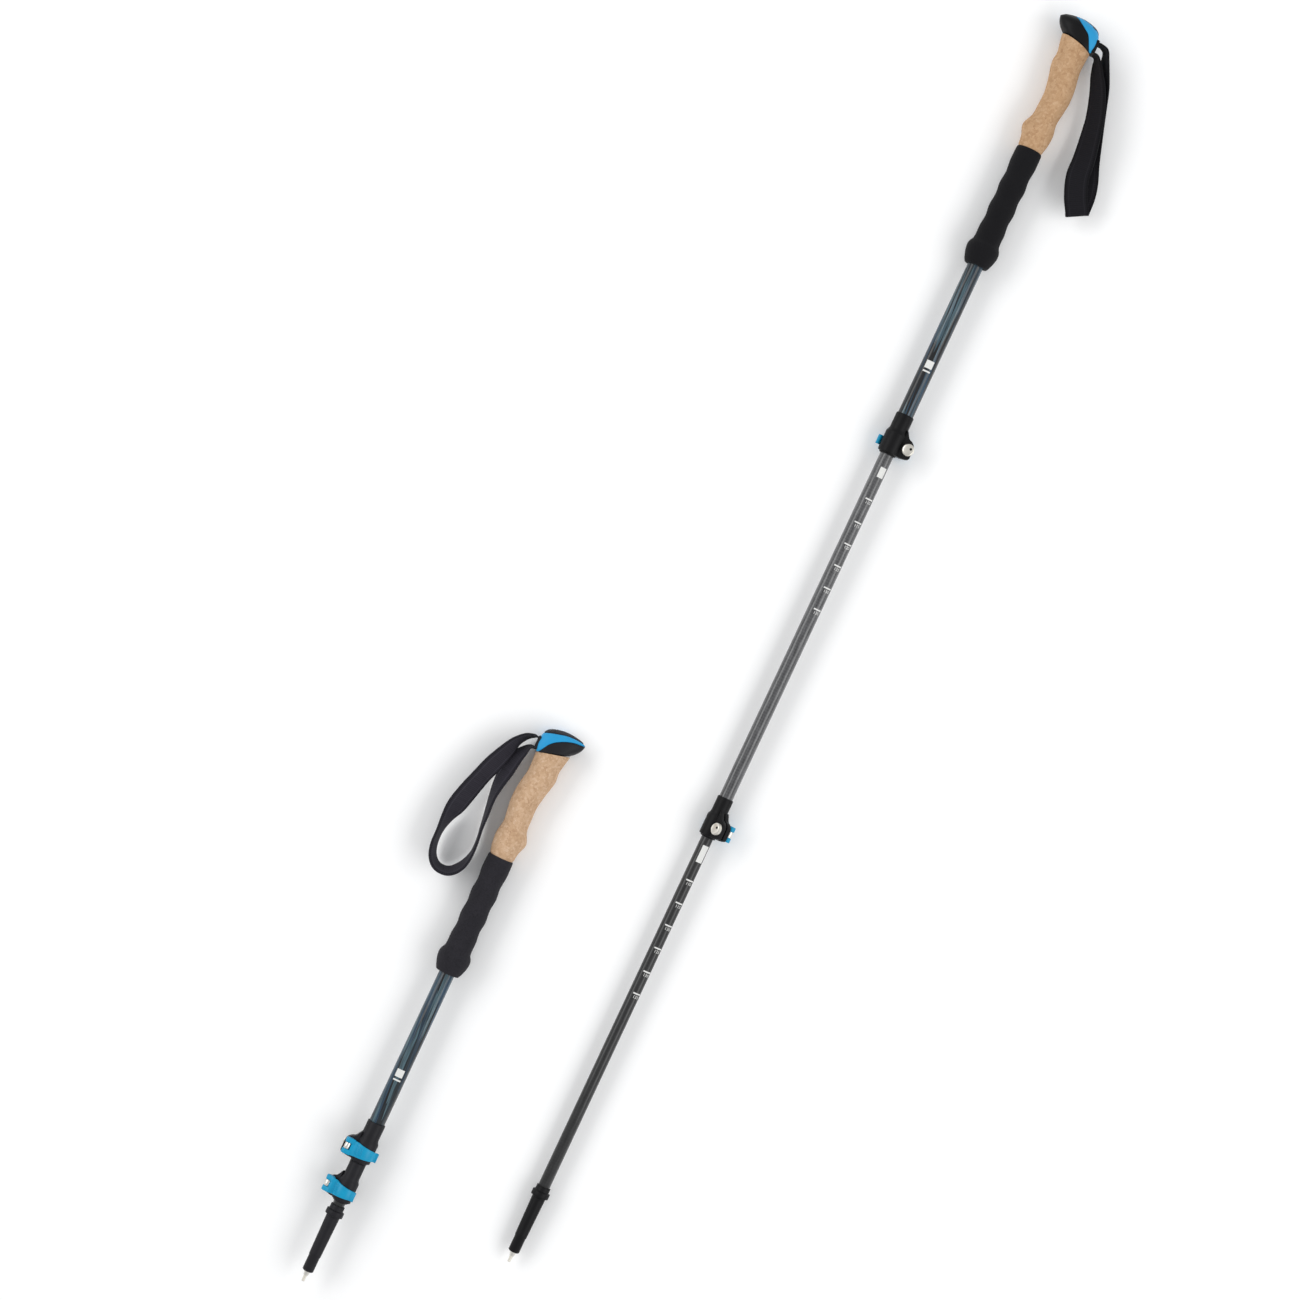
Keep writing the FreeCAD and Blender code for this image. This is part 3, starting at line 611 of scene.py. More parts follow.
def make_webbing(pole):
    """Woven strap: twill ribs with a painted highlight on their crests, a darker selvedge and a
    pale stitched row near each edge.
    """
    # tone is this pole's painted shade, darker on the long pole.
    tone = POLE_SHADES[pole]
    shader = Shader(pole + "_webbing", Specular_IOR_Level=0.08, Sheen_Weight=0.05,
                    Sheen_Roughness=0.45)
    strand = shader.node("Attribute", {}, attribute_name="strand").outputs["Vector"]
    along, across, _ = shader.split(strand)
    twill = shader.wave(shader.plus(shader.times(along, 3.4), shader.times(across, 4.4)))
    weft = shader.wave(shader.times(along, 7.2))
    weave = shader.plus(shader.times(twill, 0.6), shader.times(weft, 0.4))
    reach = shader.math("ABSOLUTE", across)
    selvedge = shader.times(shader.above(reach, 0.80), 0.7)
    from_row = shader.math("ABSOLUTE", shader.minus(reach, 0.62))
    stitches = shader.times(shader.below(from_row, 0.03), 0.6)
    # Painted highlight: the raised twill ribs are coloured lighter, as if catching the light.
    raised = shader.times(shader.above(weave, 0.35), 0.25)
    fuzz = shader.noise(strand, 0.6, 5.0)
    colour = shader.mix(fuzz, pole_shaded((0.018, 0.017, 0.021), tone),
                        pole_shaded((0.040, 0.038, 0.046), tone))
    for share, thread in ((selvedge, (0.010, 0.010, 0.012)), (stitches, (0.07, 0.07, 0.08)),
                          (raised, (0.085, 0.082, 0.095))):
        colour = shader.mix(share, colour, pole_shaded(thread, tone))
    return shader.finish(colour, shader.spread(fuzz, 0.65, 0.9), weave, 0.4, 0.00018)


def make_upper_finish(pole):
    """Glossy black lacquer with long slanted streaks of slate, blue and teal under it."""
    shader = Shader(pole + "_upper_finish", Roughness=0.32, Coat_Weight=0.4,
                    Coat_Roughness=0.08, Specular_IOR_Level=0.3)
    across, height = shader.round_tube(FRAMES[pole]["upper"], LOCKS["upper"]["tube"])
    slanted = shader.plus(across, shader.times(height, 0.06))
    streak_place = shader.point(shader.times(slanted, 0.34), shader.times(height, 0.016),
                                3.0 if pole == "long" else 7.0)
    line_place = shader.point(shader.times(slanted, 1.3), shader.times(height, 0.035), 1.0)
    tint = shader.ramp(shader.cell_value(streak_place, 1.0), [
        (0.0, (0.005, 0.005, 0.006)), (0.36, (0.008, 0.009, 0.012)),
        (0.50, (0.012, 0.024, 0.034)), (0.72, (0.022, 0.062, 0.110)),
        (0.90, (0.075, 0.135, 0.165))])
    shade = shader.ramp(shader.noise(line_place, 1.0, 3.0, 0.6),
                        [(0.36, (0.22, 0.22, 0.22)), (0.60, (1, 1, 1))])
    colour = shader.mix(1.0, tint, shade, "MULTIPLY")
    flake = shader.noise(shader.own(), 3.0, 2.0)
    return shader.finish(colour, shader.spread(flake, 0.24, 0.38))


def make_weave_finish(pole, section, radius, dark, light, coat):
    """Clear-coated carbon look: a fine twill round the tube with long mottled runs."""
    shader = Shader("%s_%s_finish" % (pole, section), Coat_Weight=coat, Coat_Roughness=0.12,
                    Specular_IOR_Level=0.3)
    across, height = shader.round_tube(FRAMES[pole][section], radius)
    round_turns, up_turns = shader.times(across, 1.1), shader.times(height, 1.05)
    weave = shader.times(shader.wave(shader.plus(round_turns, up_turns)),
                         shader.wave(shader.minus(round_turns, up_turns)))
    tows = shader.plus(shader.times(weave, 0.5), 0.5)
    run_place = shader.point(shader.times(across, 0.45), shader.times(height, 0.07), 0.0)
    mottle = shader.ramp(shader.noise(run_place, 1.0, 5.0, 0.65),
                         [(0.34, (0, 0, 0)), (0.66, (1, 1, 1))])
    tone = shader.plus(shader.times(tows, 0.35), shader.times(mottle, 0.65))
    return shader.finish(shader.mix(tone, dark, light), shader.spread(tows, 0.30, 0.46),
                         weave, 0.06, 0.0001)


def make_metal(name, colour, rough, brush=(0.2, 0.2, 6.0), strength=0.08):
    """Turned or ground metal: fine lines, smudges and faint colour change."""
    shader = Shader(name, Metallic=1.0)
    own = shader.own()
    lines = shader.noise(shader.scaled(own, brush), 1.5, 4.0, 0.6)
    smudge = shader.noise(own, 0.25, 4.0)
    tone = shader.mix(smudge, tuple(part * 0.86 for part in colour), colour)
    wear = shader.plus(shader.times(lines, 0.5), shader.times(smudge, 0.5))
    return shader.finish(tone, shader.spread(wear, *rough), lines, strength, 0.0001)


def make_floor_material():
    shader = Shader("floor", Specular_IOR_Level=0.1, Roughness=0.9)
    clouds = shader.noise(shader.own(1.0), 0.8, 2.0)
    return shader.finish(shader.mix(clouds, (0.955, 0.955, 0.955), (0.975, 0.975, 0.975)))


def make_print(pole):
    """Thin white ink."""
    shader = Shader(pole + "_print", Specular_IOR_Level=0.3)
    worn = shader.noise(shader.own(), 1.2, 4.0)
    colour = shader.mix(worn, (0.62, 0.62, 0.60), (0.82, 0.82, 0.80))
    return shader.finish(colour, shader.spread(worn, 0.35, 0.6))


def make_materials(pole):
    """The materials of one pole; the long one is photographed a little darker."""
    # tone is this pole's painted shade for its black plastic and head pad, darker on the long
    # pole.
    tone = POLE_SHADES[pole]
    return {
        "cork": make_cork(pole),
        "foam": make_foam(pole),
        "black": make_moulded(pole + "_black_plastic", pole_shaded((0.010, 0.010, 0.011), tone),
                              pole_shaded((0.020, 0.020, 0.022), tone)),
        "pad": make_moulded(pole + "_head_pad", pole_shaded((0.018, 0.017, 0.020), tone),
                            pole_shaded((0.034, 0.033, 0.037), tone), (0.5, 0.7), 2.2, 0.3, 0.16),
        "blue": make_moulded(pole + "_blue_overmould", (0.012, 0.270, 0.560),
                             (0.022, 0.330, 0.640), (0.42, 0.6), 2.6, 0.18, 0.25),
        "lever": make_moulded(pole + "_blue_lever", (0.0, 0.230, 0.420), (0.0, 0.330, 0.560),
                              (0.30, 0.46), 4.0, 0.08, 0.30),
        "webbing": make_webbing(pole),
        "nut": make_metal(pole + "_nut_metal", (0.78, 0.75, 0.68), (0.26, 0.44)),
        "steel": make_metal(pole + "_steel", (0.78, 0.76, 0.71), (0.2, 0.4)),
        "carbide": make_metal(pole + "_carbide", (0.80, 0.77, 0.69), (0.35, 0.6), (1, 1, 1),
                              0.2),
        "print": make_print(pole),
        # The near-black of the spanner hole is painted shade.
        "dark": make_moulded(pole + "_painted_hole_shade", (0.004, 0.004, 0.004), (0.008, 0.008, 0.008)),
        "upper_tube": make_upper_finish(pole),
        "middle_tube": make_weave_finish(pole, "middle", LOCKS["upper"]["inner"],
                                         (0.011, 0.011, 0.012), (0.105, 0.105, 0.110), 0.95),
        "lower_tube": make_weave_finish(pole, "lower", LOCKS["lower"]["inner"],
                                        (0.006, 0.006, 0.006), (0.024, 0.024, 0.025), 0.35),
    }


MATERIALS = {pole: make_materials(pole) for pole in POLES}


# ---------------- head

HEAD_WIDEST = 0.42
CROWN = 2.3
HEAD_STATIONS = sorted({-15.9, -15.8, -15.6, -15.3, -15.0, -14.5, -14.0, -13.4, -12.7, -12.0,
                        28.2, 28.6, 28.8, 28.9} | {-11.5 + 1.02 * k for k in range(39)})
STRIP_STEPS = 8
SEAM_GROOVE = 0.14
THINNEST_STRIP = 0.12

# The strips of the head: piece, lower and upper line of head_seams, wall, material, slot and
# the CAD node it stands for.
HEAD_STRIPS = (
    ("horn_shell", 0, 1, 1.6, "black", "black_plastic", "head_shell"),
    ("blue_collar", 1, 2, 1.8, "blue", "blue_overmould", "head_overmould"),
    ("palm_pad", 2, 3, 1.8, "pad", "black_plastic", "head_top_pad"),
)


def head_levels(x):
    """Heights of the head's floor, its widest level and its roof at x."""
    floor, roof = curve_at(HEAD_FLOOR, x), curve_at(HEAD_ROOF, x)
    return floor, floor + (roof - floor) * HEAD_WIDEST, roof


def head_width_at(x, height):
    """Half width of the head at a place in its side view."""
    floor, widest, roof = head_levels(x)
    wide = curve_at(HEAD_PLAN, x)
    inside = 1 - ((x - 1.9) / 17.4) ** 2
    rim = min(wide, 15.2 * math.sqrt(max(inside, 0.0)))
    if height >= widest:
        share = min(1.0, (height - widest) / max(roof - widest, 1e-6))
        return wide * (1 - share ** CROWN) ** 0.5
    share = min(1.0, (widest - height) / max(widest - floor, 1e-6))
    return rim + (wide - rim) * math.sqrt(max(1 - share ** 2.2, 0.0))


def head_top_at(x, y):
    """Height of the head's crowned top at a place in plan."""
    _, widest, roof = head_levels(x)
    share = max(0.0, 1 - (abs(y) / curve_at(HEAD_PLAN, x)) ** 2) ** (1 / CROWN)
    return widest + (roof - widest) * share


def head_seams(x, side):
    """Heights of the four lines that bound the head's strips at x."""
    floor, _, roof = head_levels(x)
    lower_seam = NUT_SIDE_SEAM if side > 0 else LEVER_SIDE_SEAM
    pad = min(max(curve_at(PAD_SEAM, x), floor), roof)
    if side > 0:
        pad = roof - (roof - pad) * NUT_SIDE_PAD
    shell = curve_at(lower_seam, x) if x > -11.5 else floor
    return floor, min(max(shell, floor), pad), pad, roof


def head_ring(x, side, bottom, top):
    """One side of a strip at x, short of its seams by the groove; None where it runs out."""
    lines = head_seams(x, side)
    low, high = lines[bottom], lines[top]
    if high - low < THINNEST_STRIP:
        return None
    low += SEAM_GROOVE if bottom > 0 else 0
    high -= SEAM_GROOVE if top < 3 else 0
    high = max(high, low + 0.02)
    ring = []
    for step in range(STRIP_STEPS + 1):
        share = step / STRIP_STEPS
        if top == 3:
            share = math.sin(share * math.pi / 2)
        height = low + (high - low) * share
        ring.append((x, side * head_width_at(x, height), height))
    if top == 3:
        ring[-1] = (x, 0.0, ring[-1][2])
    if bottom == 0:
        ring.insert(0, (x, 0.0, ring[0][2]))
    return ring


def head_strip(bottom, top):
    """Skin of the head between two lines of head_seams, on both sides of the pole."""
    parts = []
    for side in (1, -1):
        rings = [head_ring(x, side, bottom, top) for x in HEAD_STATIONS]
        parts.append(loft([ring for ring in rings if ring], caps=False, closed=False))
    return joined(*parts)


def thicken(piece, wall):
    """Gives a skin a wall inwards and smooths it."""
    solid = piece.modifiers.new("wall", "SOLIDIFY")
    solid.thickness = wall * MM
    solid.offset = -1
    solid.use_rim = True
    smooth_once(piece)


def cut_wedge_slot(pad, matrix):
    """Opens the slot in the palm pad that the strap wedge lifts out of."""
    (back, front), half_width = WEDGE_SLOT
    outline = rounded_outline(rectangle(back, front, -half_width, half_width), 0.8)
    cutter = add_piece("slot_cutter", rounded_prism(outline, 250.0, 270.0, 0.2), matrix, None)
    opening = pad.modifiers.new("slot", "BOOLEAN")
    opening.operation = "DIFFERENCE"
    opening.solver = "EXACT"
    opening.object = cutter
    settle(pad)
    bpy.data.objects.remove(cutter)


def add_head(pole):
    matrix = FRAMES[pole]["upper"]
    for name, bottom, top, wall, look, slot, node in HEAD_STRIPS:
        piece = add_part(pole, name, head_strip(bottom, top), matrix, look, "upper_section",
                         slot, node, sharp=60)
        thicken(piece, wall)
        if name == "palm_pad":
            cut_wedge_slot(piece, matrix)


def add_wedge(pole):
    """Wedge of the strap, its cap flush with the crowned top of the head."""
    (back, front), half_width = WEDGE_SLOT
    back, front, half_width = back + 0.25, front - 0.25, half_width - 0.35
    rings = []
    for step in range(25):
        y = half_width * math.sin(math.pi * (step / 24 - 0.5))
        inset = 0.7 * max(0.0, (abs(y) - half_width + 0.8) / 0.8)
        low, high = back + inset, front - inset
        outline = [(low + 0.9, WEDGE_BOTTOM), (high - 0.9, WEDGE_BOTTOM),
                   (high, WEDGE_BOTTOM + 5.0)]
        for share in (1.0, 0.9, 0.5, 0.1, 0.0):
            x = low + (high - low) * share
            softened = 0.35 if share in (0.0, 1.0) else 0.1
            outline.append((x, head_top_at(x, y) - softened))
        outline.append((low, WEDGE_BOTTOM + 5.0))
        rings.append([(x, y, height) for x, height in outline])
    add_part(pole, "wedge_cap", loft(rings), FRAMES[pole]["upper"], "pad", "wedge",
             "black_plastic", "strap_wedge", sharp=50)


# The strap's mouth, ring by ring out of the head and back in: x, half width, low and high edge
# and corner radius.
MOUTH_RINGS = (
    (-12.5, 11.0, 236.9, 250.6, 2.6), (-15.4, 11.2, 236.6, 250.9, 2.8),
    (-16.5, 10.9, 236.9, 250.6, 2.6), (-16.9, 10.4, 237.4, 250.1, 2.2),
    (-16.7, 9.9, 237.9, 249.6, 1.8), (-15.2, 9.6, 238.2, 249.3, 1.6),
    (-13.2, 9.5, 238.2, 249.3, 1.5),
)


def add_strap_mouth(pole):
    """Moulded frame round the slot where the webbing goes into the head."""
    rings = []
    for x, half_width, low, high, radius in MOUTH_RINGS:
        outline = rounded_outline(rectangle(-half_width, half_width, low, high), radius)
        rings.append([(x, y, height) for y, height in outline])
    add_part(pole, "strap_mouth", loft(rings), FRAMES[pole]["upper"], "black",
             "upper_section", "black_plastic")


# ---------------- cork and foam

def cork_top_at(x):
    """Height of the cork's slanted top at x."""
    (back, low), (front, high) = CORK_TOP_BACK, CORK_TOP_FRONT
    slope = (high - low) / (front - back)
    return low + slope * (x - back)


def cork_ring(share, segments):
    """Points round the cork at a share of its height, level below and slanted at the top."""
    heights, *reaches = zip(*CORK_SECTIONS)
    fronts, backs, sides = (list(zip(heights, reach)) for reach in reaches)
    ring = []
    for step in range(segments):
        turn = 2 * math.pi * step / segments
        top = cork_top_at(14.0 * math.cos(turn) + 1.9)
        height = FOAM_LENGTH + (top - FOAM_LENGTH) * share
        front, back = curve_at(fronts, height), curve_at(backs, height)
        squeeze = 1 - 0.06 * max(0.0, 1 - (height - FOAM_LENGTH) / 1.6) ** 2
        x = (front - back) / 2 + (front + back) / 2 * math.cos(turn) * squeeze
        ring.append((x, curve_at(sides, height) * math.sin(turn) * squeeze, height))
    return ring


def add_cork(pole):
    """Cork sleeve with the bore the grip's core runs through."""
    levels, segments = 58, 56
    outside = [cork_ring(level / levels, segments) for level in range(levels + 1)]
    bore = [circle(CORE_REACH, height, segments) for height in (CORK_TOP_BACK[1], FOAM_LENGTH)]
    add_part(pole, "cork_sleeve", loft(bore + outside + bore[:1], caps=False),
             FRAMES[pole]["upper"], "cork", "upper_section", "cork", "cork_grip")


# Outer radius of the foam against height: a flange below, then ripples for the fingers.
FOAM_SHAPE = (
    (0, 11.6), (2.2, 12.9), (6.5, 14.6), (12.0, 16.2), (17.7, 16.7), (21.4, 15.7), (25.0, 13.8),
    (31.0, 13.3), (38.5, 13.4), (49.5, 12.3), (61.0, 13.4), (73.0, 12.3), (85.5, 13.4),
    (97.0, 12.3), (109.0, 13.4), (117.0, 13.4), (124.6, 13.1), (125.5, 12.7),
)


def foam_profile():
    """Section of the foam as (radius, height), from its bore out and up to its top."""
    start, end, steps = 0.3, 125.5, 96
    heights = [start + (end - start) * step / steps for step in range(steps + 1)]
    return ([(8.3, 0.4), (10.2, 0.0), (11.0, 0.05)]
            + [(curve_at(FOAM_SHAPE, height), height) for height in heights]
            + [(12.3, FOAM_LENGTH), (10.2, FOAM_LENGTH)])


def add_foam(pole):
    add_part(pole, "foam_sleeve", revolve(foam_profile()), FRAMES[pole]["upper"], "foam",
             "upper_section", "foam", "foam_grip")


# ---------------- wrist strap

ROUTE_STEPS = 6
WEBBING_WIDTH = 17.6
WEBBING_THICKNESS = 1.5
PADDING_WIDTH = 6.4
PADDING_THICKNESS = 1.0
PADDING_RUN = 30.0


def route_inside():
    """Middle line of the webbing in the head: in, round its pin and out again."""
    pin_x, pin_z, radius = -6.5, 243.6, 2.4
    inside = [(-15.2, 248.5, 0, 0), (-10.0, 247.2, 0, 0)]
    for angle in range(90, -91, -30):
        turn = math.radians(angle)
        inside.append((pin_x + radius * math.cos(turn), pin_z + radius * math.sin(turn), 0, 0))
    return inside + [(-10.0, 240.2, 0, 0), (-14.6, 237.9, 0, 0)]


def ribbon_profile(width, thickness):
    """Section of webbing, with soft edges: (across, through)."""
    half, thin = width / 2, thickness / 2
    edge = thin * 0.9
    top = [(-half + edge * 0.25, thin * 0.75), (-half + edge, thin), (-half * 0.66, thin),
           (-half * 0.30, thin * 1.02), (0, thin * 1.04), (half * 0.30, thin * 1.02),
           (half * 0.66, thin), (half - edge, thin), (half - edge * 0.25, thin * 0.75)]
    return top + [(x, -y) for x, y in reversed(top)]


def route_vector(start, end):
    """Way between two points of the route, which gives x, height and y."""
    return Vector((end[0] - start[0], end[2] - start[2], end[1] - start[1]))


def ribbon_axes(way, twist, fold):
    """Directions across the webbing and through it."""
    along = way.normalized()
    level = Vector((way.x, 0, way.z)).normalized()
    across = Vector((fold[0], 0, fold[1])) if fold else Vector((-level.z, 0, level.x))
    lean = math.radians(twist)
    broad = Vector((0, math.cos(lean), 0)) + across * math.sin(lean)
    broad = (broad - along * broad.dot(along)).normalized()
    return broad, along.cross(broad)


def padding_at(index, last):
    """Share of the wrist padding at a point of the route: none at the head, full lower down."""
    from_head = min(index, last - index) if index <= last else 0
    share = min(1.0, max(0.0, from_head / PADDING_RUN))
    return share * share * (3 - 2 * share)


def strap_sections(pole):
    """Rings of the webbing, and for each point how far along and across it lies."""
    outside = [(-behind, height, side, twist) for behind, height, side, twist in LOOPS[pole]]
    run = through(outside + list(reversed(route_inside())) + [outside[0]], ROUTE_STEPS)[:-1]
    last_outside = (len(outside) - 1) * ROUTE_STEPS
    rings, strands = [], []
    travelled = 0.0
    for index, (x, z, y, twist) in enumerate(run):
        before, after = run[index - 1], run[(index + 1) % len(run)]
        broad, thin = ribbon_axes(route_vector(before, after), twist, LOOP_FOLD[pole])
        padding = padding_at(index, last_outside)
        width = WEBBING_WIDTH + PADDING_WIDTH * padding
        profile = ribbon_profile(width, WEBBING_THICKNESS + PADDING_THICKNESS * padding)
        middle = Vector((x, y, z))
        rings.append([tuple(middle + broad * a + thin * t) for a, t in profile])
        strands += [(travelled, a / (width / 2), t) for a, t in profile]
        travelled += (Vector((after[0], after[2], after[1])) - middle).length
    return rings, strands


def add_strap(pole):
    """One woven loop: thin webbing at the head and a wider, padded wrist section."""
    upper = FRAMES[pole]["upper"]
    rings, strands = strap_sections(pole)
    skin = closed_loft(rings)
    strap = add_piece(pole + "_wrist_strap", skin, upper, MATERIALS[pole]["webbing"], 50)
    keep_strands(strap, skin[0], strands, upper)
    smooth_once(strap)
    settle(strap)
    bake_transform(strap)
    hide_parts(pole + "_strap_root", pole + "_strap_loop")


def keep_strands(piece, verts, strands, matrix):
    """Stores where each point lies along and across the webbing, for its weave."""
    table = {}
    for point, strand in zip(verts, strands):
        world = matrix @ Vector(point)
        table[tuple(round(part * 1e5) for part in world)] = strand
    attribute = piece.data.attributes.new("strand", "FLOAT_VECTOR", "POINT")
    for index, vertex in enumerate(piece.data.vertices):
        key = tuple(round(part * 1e5) for part in vertex.co)
        attribute.data[index].vector = table.get(key, (0, 0, 0))


# ---------------- lever locks

LEVER_HALF = 8.1
FORK_HALF = 3.3
ARM_WALL = 2.2
RIB_ANGLES = (-122, -115, -108, -101, -94)
NUT_BOTTOM = 6.65
NUT_TOP = 10.65
# Turns a shape drawn in side view and raised along z so that it stands across the pole.
ACROSS = Matrix(((1, 0, 0, 0), (0, 0, 1, 0), (0, 1, 0, 0), (0, 0, 0, 1)))


def lock_matrix(pole, lock):
    """Frame of a lock: its section's millimetres, with 0 at the height of the screw."""
    facts = LOCKS[lock]
    return FRAMES[pole][facts["section"]] @ Matrix.Translation((0, 0, facts["screw"]))


def screw_x(tube):
    """Where the clamp screw crosses, behind the tube."""
    return -tube - BAND_WALL - SCREW_REACH


def sleeve_profile(tube, inner):
    """Section of the sleeve and its band as (radius, height), from the lip up and back down."""
    outer = tube + BAND_WALL
    bottom = -LOCK_BOTTOM
    return [(inner + 0.15, bottom - LIP_HEIGHT), (tube + 0.3, bottom - LIP_HEIGHT),
            (tube + 0.7, bottom - LIP_HEIGHT + 0.4), (tube + 0.9, bottom - 0.2),
            (outer - 0.9, bottom), (outer - 0.2, bottom + 0.3), (outer, bottom + 1.0),
            (outer, BAND_TOP - 1.8), (outer - 0.3, BAND_TOP - 0.8),
            (outer - 0.9, BAND_TOP + 0.2), (tube + SLEEVE_WALL + 0.25, BAND_TOP + 1.8),
            (tube + SLEEVE_WALL, BAND_TOP + 3.4), (tube + SLEEVE_WALL, LOCK_TOP - 0.7),
            (tube + SLEEVE_WALL - 0.25, LOCK_TOP - 0.2), (tube + 0.6, LOCK_TOP),
            (tube + 0.05, LOCK_TOP), (tube + 0.05, -6.9), (inner + 0.15, -6.9),
            (inner + 0.15, bottom - LIP_HEIGHT)]


def ear_outline(tube):
    """Side view of an ear that flows out of the sleeve: (x, height)."""
    outer = tube + BAND_WALL
    back = -outer - EAR_REACH
    return rounded_outline([
        (-tube - 0.3, -10.2, 0.5), (-outer - 1.5, -10.3, 2.5), (back + 3.5, -9.4, 2.2),
        (back, -8.2, 2.8), (back, 5.2, 3.4), (back + 4.2, 9.2, 3.0), (-outer - 2.5, 10.4, 3.5),
        (-tube - SLEEVE_WALL, 17.5, 2.0), (-tube - 0.3, 17.5, 0.4)], 1.5)


def add_lock_body(pole, lock):
    """Sleeve with a split band and two rounded ears."""
    facts = LOCKS[lock]
    outline = ear_outline(facts["tube"])
    ears = [moved(rounded_prism(outline, low, high, 0.7), ACROSS)
            for low, high in ((0.75, 6.0), (-6.0, -0.75))]
    sleeve = revolve(sleeve_profile(facts["tube"], facts["inner"]))
    add_part(pole, lock + "_clamp", joined(sleeve, *ears), lock_matrix(pole, lock), "black",
             facts["section"] + "_section", "black_plastic", lock + "_lock_body")


def arm_path(tube):
    """Middle line of the lever's arm, seen along the pole."""
    outer = tube + BAND_WALL
    middle = outer + LEVER_GAP + ARM_WALL / 2
    path = [(screw_x(tube) + 3.7, -PIVOT_DEPTH - 0.7), (screw_x(tube) + 5.4, -PIVOT_DEPTH - 0.9)]
    for angle in range(-124, -9, 12):
        turn = math.radians(angle)
        path.append(polar(middle, turn))
    return through(path + [(outer + 2.4, -2.2), (outer + 4.4, -2.5)], 3)


def lever_arm(tube):
    """The arm: from the cam round the band to the thumb tab, getting slimmer on the way."""
    path = arm_path(tube)
    last = len(path) - 1
    rings = []
    for index, (x, y) in enumerate(path):
        before, after = path[max(index - 1, 0)], path[min(index + 1, last)]
        along = Vector((after[0] - before[0], after[1] - before[1])).normalized()
        side = Vector((along.y, -along.x))
        share = index / last
        half_height = LEVER_HALF - 3.3 * min(1.0, share * 1.25) ** 0.8
        half_wall = (ARM_WALL - 0.2) / 2 + 0.5 * max(0.0, 1 - share * 3.0)
        half_wall *= 0.45 + 0.55 * min(1.0, (last - index) / 2.0)
        drop = -1.3 * share
        section = rounded_outline(rectangle(-half_wall, half_wall, -half_height, half_height),
                                  0.6, 2)
        ring = []
        for a, z in section:
            point = Vector((x, y)) + side * a
            ring.append((point.x, point.y, z + drop))
        rings.append(ring)
    return loft(rings)


def lever_prong(tube, low, high):
    """One cheek of the fork: a cam round the pivot that runs into the arm."""
    pivot_x, depth = screw_x(tube), -PIVOT_DEPTH
    outline = []
    for angle in range(60, 301, 20):
        turn = math.radians(angle)
        outline.append((pivot_x + CAM_RADIUS * math.cos(turn),
                        depth + 0.35 + CAM_RADIUS * math.sin(turn)))
    outline += [(pivot_x + 5.4, depth - 2.6), (pivot_x + 6.2, depth - 1.0),
                (pivot_x + 5.4, depth + 0.9)]
    return rounded_prism(outline, low, high, 0.6)


def lever_rib(radius, angle):
    """A fine grip rib across the arm, fading at both ends."""
    turn = math.radians(angle)
    rings = []
    for z, swell in ((-5.2, 0.1), (-4.7, 0.32), (0, 0.36), (4.2, 0.32), (4.7, 0.1)):
        ring = []
        for step in range(8):
            around = 2 * math.pi * step / 8
            reach = radius + swell * math.cos(around)
            sweep = turn + swell * math.sin(around) / radius
            ring.append(polar(reach, sweep, z))
        rings.append(ring)
    return loft(rings)


def add_lever(pole, lock):
    tube = LOCKS[lock]["tube"]
    rib_radius = tube + BAND_WALL + LEVER_GAP + 2.15
    part = joined(lever_arm(tube), lever_prong(tube, FORK_HALF, LEVER_HALF),
                  lever_prong(tube, -LEVER_HALF, -FORK_HALF),
                  *[lever_rib(rib_radius, angle) for angle in RIB_ANGLES])
    add_part(pole, lock + "_cam_lever", part, lock_matrix(pole, lock), "lever",
             lock + "_lever", "blue_lever", lock + "_lock_lever")


def knurled_ring(radius, height, depth, segments=72):
    """Points round a circle, every second one raised by the depth of the knurl."""
    return [polar(radius + depth * (step % 2), 2 * math.pi * step / segments, height)
            for step in range(segments)]


def nut_disc():
    """Skin of the nut; its rows are radius, height and knurl, from the bore round to the face."""
    profile = [(2.45, NUT_TOP - 1.1, 0), (2.45, NUT_BOTTOM, 0), (5.5, NUT_BOTTOM, 0),
               (6.0, NUT_BOTTOM + 0.4, 0.16), (6.0, NUT_TOP - 1.0, 0.16),
               (5.6, NUT_TOP - 0.35, 0), (4.9, NUT_TOP - 0.02, 0), (4.4, NUT_TOP - 0.2, 0),
               (0.0, NUT_TOP - 0.16, 0)]
    return loft([knurled_ring(*row) for row in profile], caps=False)


def add_nut(pole, lock):
    """Round nut with a knurled rim; its spanner hole off the centre is a near-black disc of
    painted shade on the face.
    """
    facing = Matrix(((1, 0, 0, screw_x(LOCKS[lock]["tube"])), (0, 0, 1, 0), (0, -1, 0, 0),
                     (0, 0, 0, 1)))
    matrix = lock_matrix(pole, lock) @ facing
    add_part(pole, lock + "_thumb_nut", nut_disc(), matrix, "nut", lock + "_nut",
             "nut_metal", lock + "_lock_nut")
    # Painted shade: a near-black disc on the nut's face stands for the shade inside the spanner
    # hole.
    hole = revolve([(0.0, NUT_TOP - 0.12), (0.95, NUT_TOP - 0.12), (1.15, NUT_TOP - 0.02),
                    (1.3, NUT_TOP - 0.14)], 24, (-2.0, -1.6))
    add_part(pole, lock + "_spanner_hole", hole, matrix, "dark", lock + "_nut",
             "black_plastic")


# ---------------- printed marks

INK_LIFT = 0.04
SCALE_FACING = math.radians(165.0)
FIRST_NUMBER = 110
# Printed length scales: section, its radius, the plain bar and the heights of the numbered ones.
SCALES = (
    ("middle", 7.0, (-229.5, -218.7), (-253.1, -278.4, -302.0, -325.5, -349.7, -373.0)),
    ("lower", 6.0, (-648.0, -630.0), (-667.8, -692.5, -716.9, -741.7, -767.3, -791.0)),
)


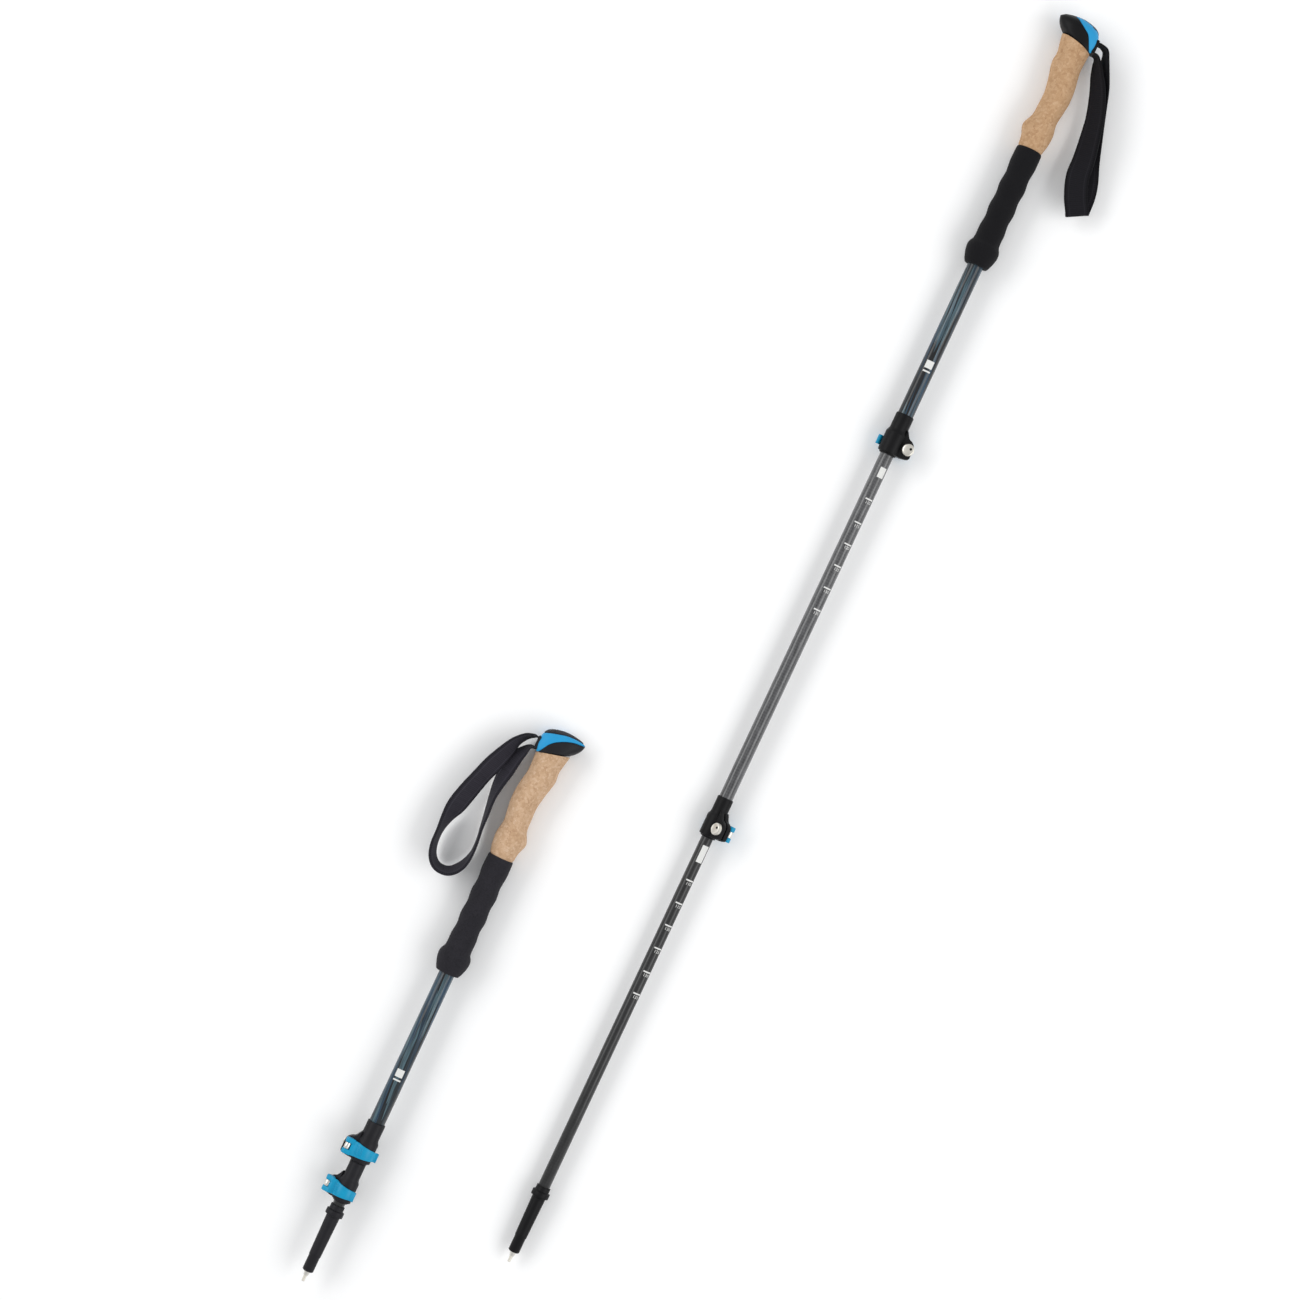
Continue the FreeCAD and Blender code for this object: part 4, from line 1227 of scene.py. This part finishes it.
def wrapped_patch(radius, turn, low, high, width):
    """A thin patch of ink on a tube."""
    columns = 8
    angles = [turn + (step / columns - 0.5) * width / radius for step in range(columns + 1)]
    return loft([[polar(radius, angle, height) for angle in angles] for height in (low, high)],
                caps=False, closed=False)


def wrapped_text(words, size, radius, turn, height):
    """Numerals laid on a tube, read across it."""
    data = bpy.data.curves.new("numeral", "FONT")
    data.body = words
    data.size = size
    data.align_x = "CENTER"
    data.align_y = "CENTER"
    writer = bpy.data.objects.new("numeral", data)
    bpy.context.scene.collection.objects.link(writer)
    bpy.context.view_layer.update()
    flat = bpy.data.meshes.new_from_object(
        writer.evaluated_get(bpy.context.evaluated_depsgraph_get()))
    verts = [polar(radius, turn + vertex.co.x / radius, height + vertex.co.y)
             for vertex in flat.vertices]
    faces = [tuple(polygon.vertices) for polygon in flat.polygons]
    bpy.data.objects.remove(writer)
    bpy.data.meshes.remove(flat)
    return verts, faces


def add_scale(pole, section, radius, bar, heights):
    """A length scale printed along a section: short bars with generic numbers."""
    ink = radius + INK_LIFT
    parts = [wrapped_patch(ink, SCALE_FACING, *bar, 7.0)]
    for index, height in enumerate(heights):
        number = str(FIRST_NUMBER + 5 * index)
        parts.append(wrapped_patch(ink, SCALE_FACING, height - 0.7, height + 0.7, 8.6))
        parts.append(wrapped_text(number, 4.2, ink, SCALE_FACING, height - 3.6))
    add_part(pole, section + "_scale", joined(*parts), FRAMES[pole][section], "print",
             section + "_section", section + "_finish")


def add_label(pole):
    """A plain two-part label on the upper section, on the side that faces up."""
    ink = LOCKS["upper"]["tube"] + INK_LIFT
    turn = math.radians(90.0 if pole == "long" else -90.0)
    patches = [wrapped_patch(ink, turn, low, high, 8.0)
               for low, high in ((-112.0, -104.0), (-116.0, -114.4))]
    add_part(pole, "plain_label", joined(*patches), FRAMES[pole]["upper"], "print",
             "upper_section", "upper_finish")


# ---------------- CAD nodes that stay

STAYING = {
    "black": ["tip_stem", "grip_core", "middle_bushing", "lower_bushing"],
    "steel": ["strap_pin", "tip_holder", "upper_lock_pin", "upper_lock_screw",
              "upper_lock_washer", "lower_lock_pin", "lower_lock_screw", "lower_lock_washer"],
    "carbide": ["carbide_tip"],
}


EDGE_BEVEL = 0.2
TUBE_BEVEL = 0.15


def dress_node(name, material, bevel):
    """Gives a CAD node its material and softens its edges."""
    node = frame["nodes"][name]
    for slot in node.material_slots:
        slot.material = material
    if not node.material_slots:
        node.data.materials.append(material)
    weld = node.modifiers.new("weld", "WELD")
    weld.merge_threshold = 2e-6
    edge = node.modifiers.new("edges", "BEVEL")
    edge.width = bevel * MM
    edge.segments = 2
    edge.limit_method = "ANGLE"
    edge.angle_limit = math.radians(40)
    edge.harden_normals = True


def dress_nodes(pole):
    """Dresses the CAD nodes of a pole that are shown as they are."""
    for material, names in STAYING.items():
        for name in names:
            dress_node("%s_%s" % (pole, name), MATERIALS[pole][material], EDGE_BEVEL)
    for tube in ("upper_tube", "middle_tube", "lower_tube"):
        dress_node("%s_%s" % (pole, tube), MATERIALS[pole][tube], TUBE_BEVEL)


# ---------------- floor

def add_floor():
    mesh = bpy.data.meshes.new("floor")
    half = 6.0
    mesh.from_pydata([(-half, -half, 0), (half, -half, 0), (half, half, 0), (-half, half, 0)],
                     [], [(0, 1, 2, 3)])
    floor = bpy.data.objects.new("floor", mesh)
    bpy.context.scene.collection.objects.link(floor)
    mesh.materials.append(make_floor_material())


def build_pole(pole):
    add_head(pole)
    add_wedge(pole)
    add_strap_mouth(pole)
    add_cork(pole)
    add_foam(pole)
    add_strap(pole)
    for lock in LOCKS:
        add_lock_body(pole, lock)
        add_lever(pole, lock)
        add_nut(pole, lock)
    for row in SCALES:
        add_scale(pole, *row)
    add_label(pole)
    dress_nodes(pole)


make_camera()
make_lights()
add_floor()
for pole in POLES:
    build_pole(pole)
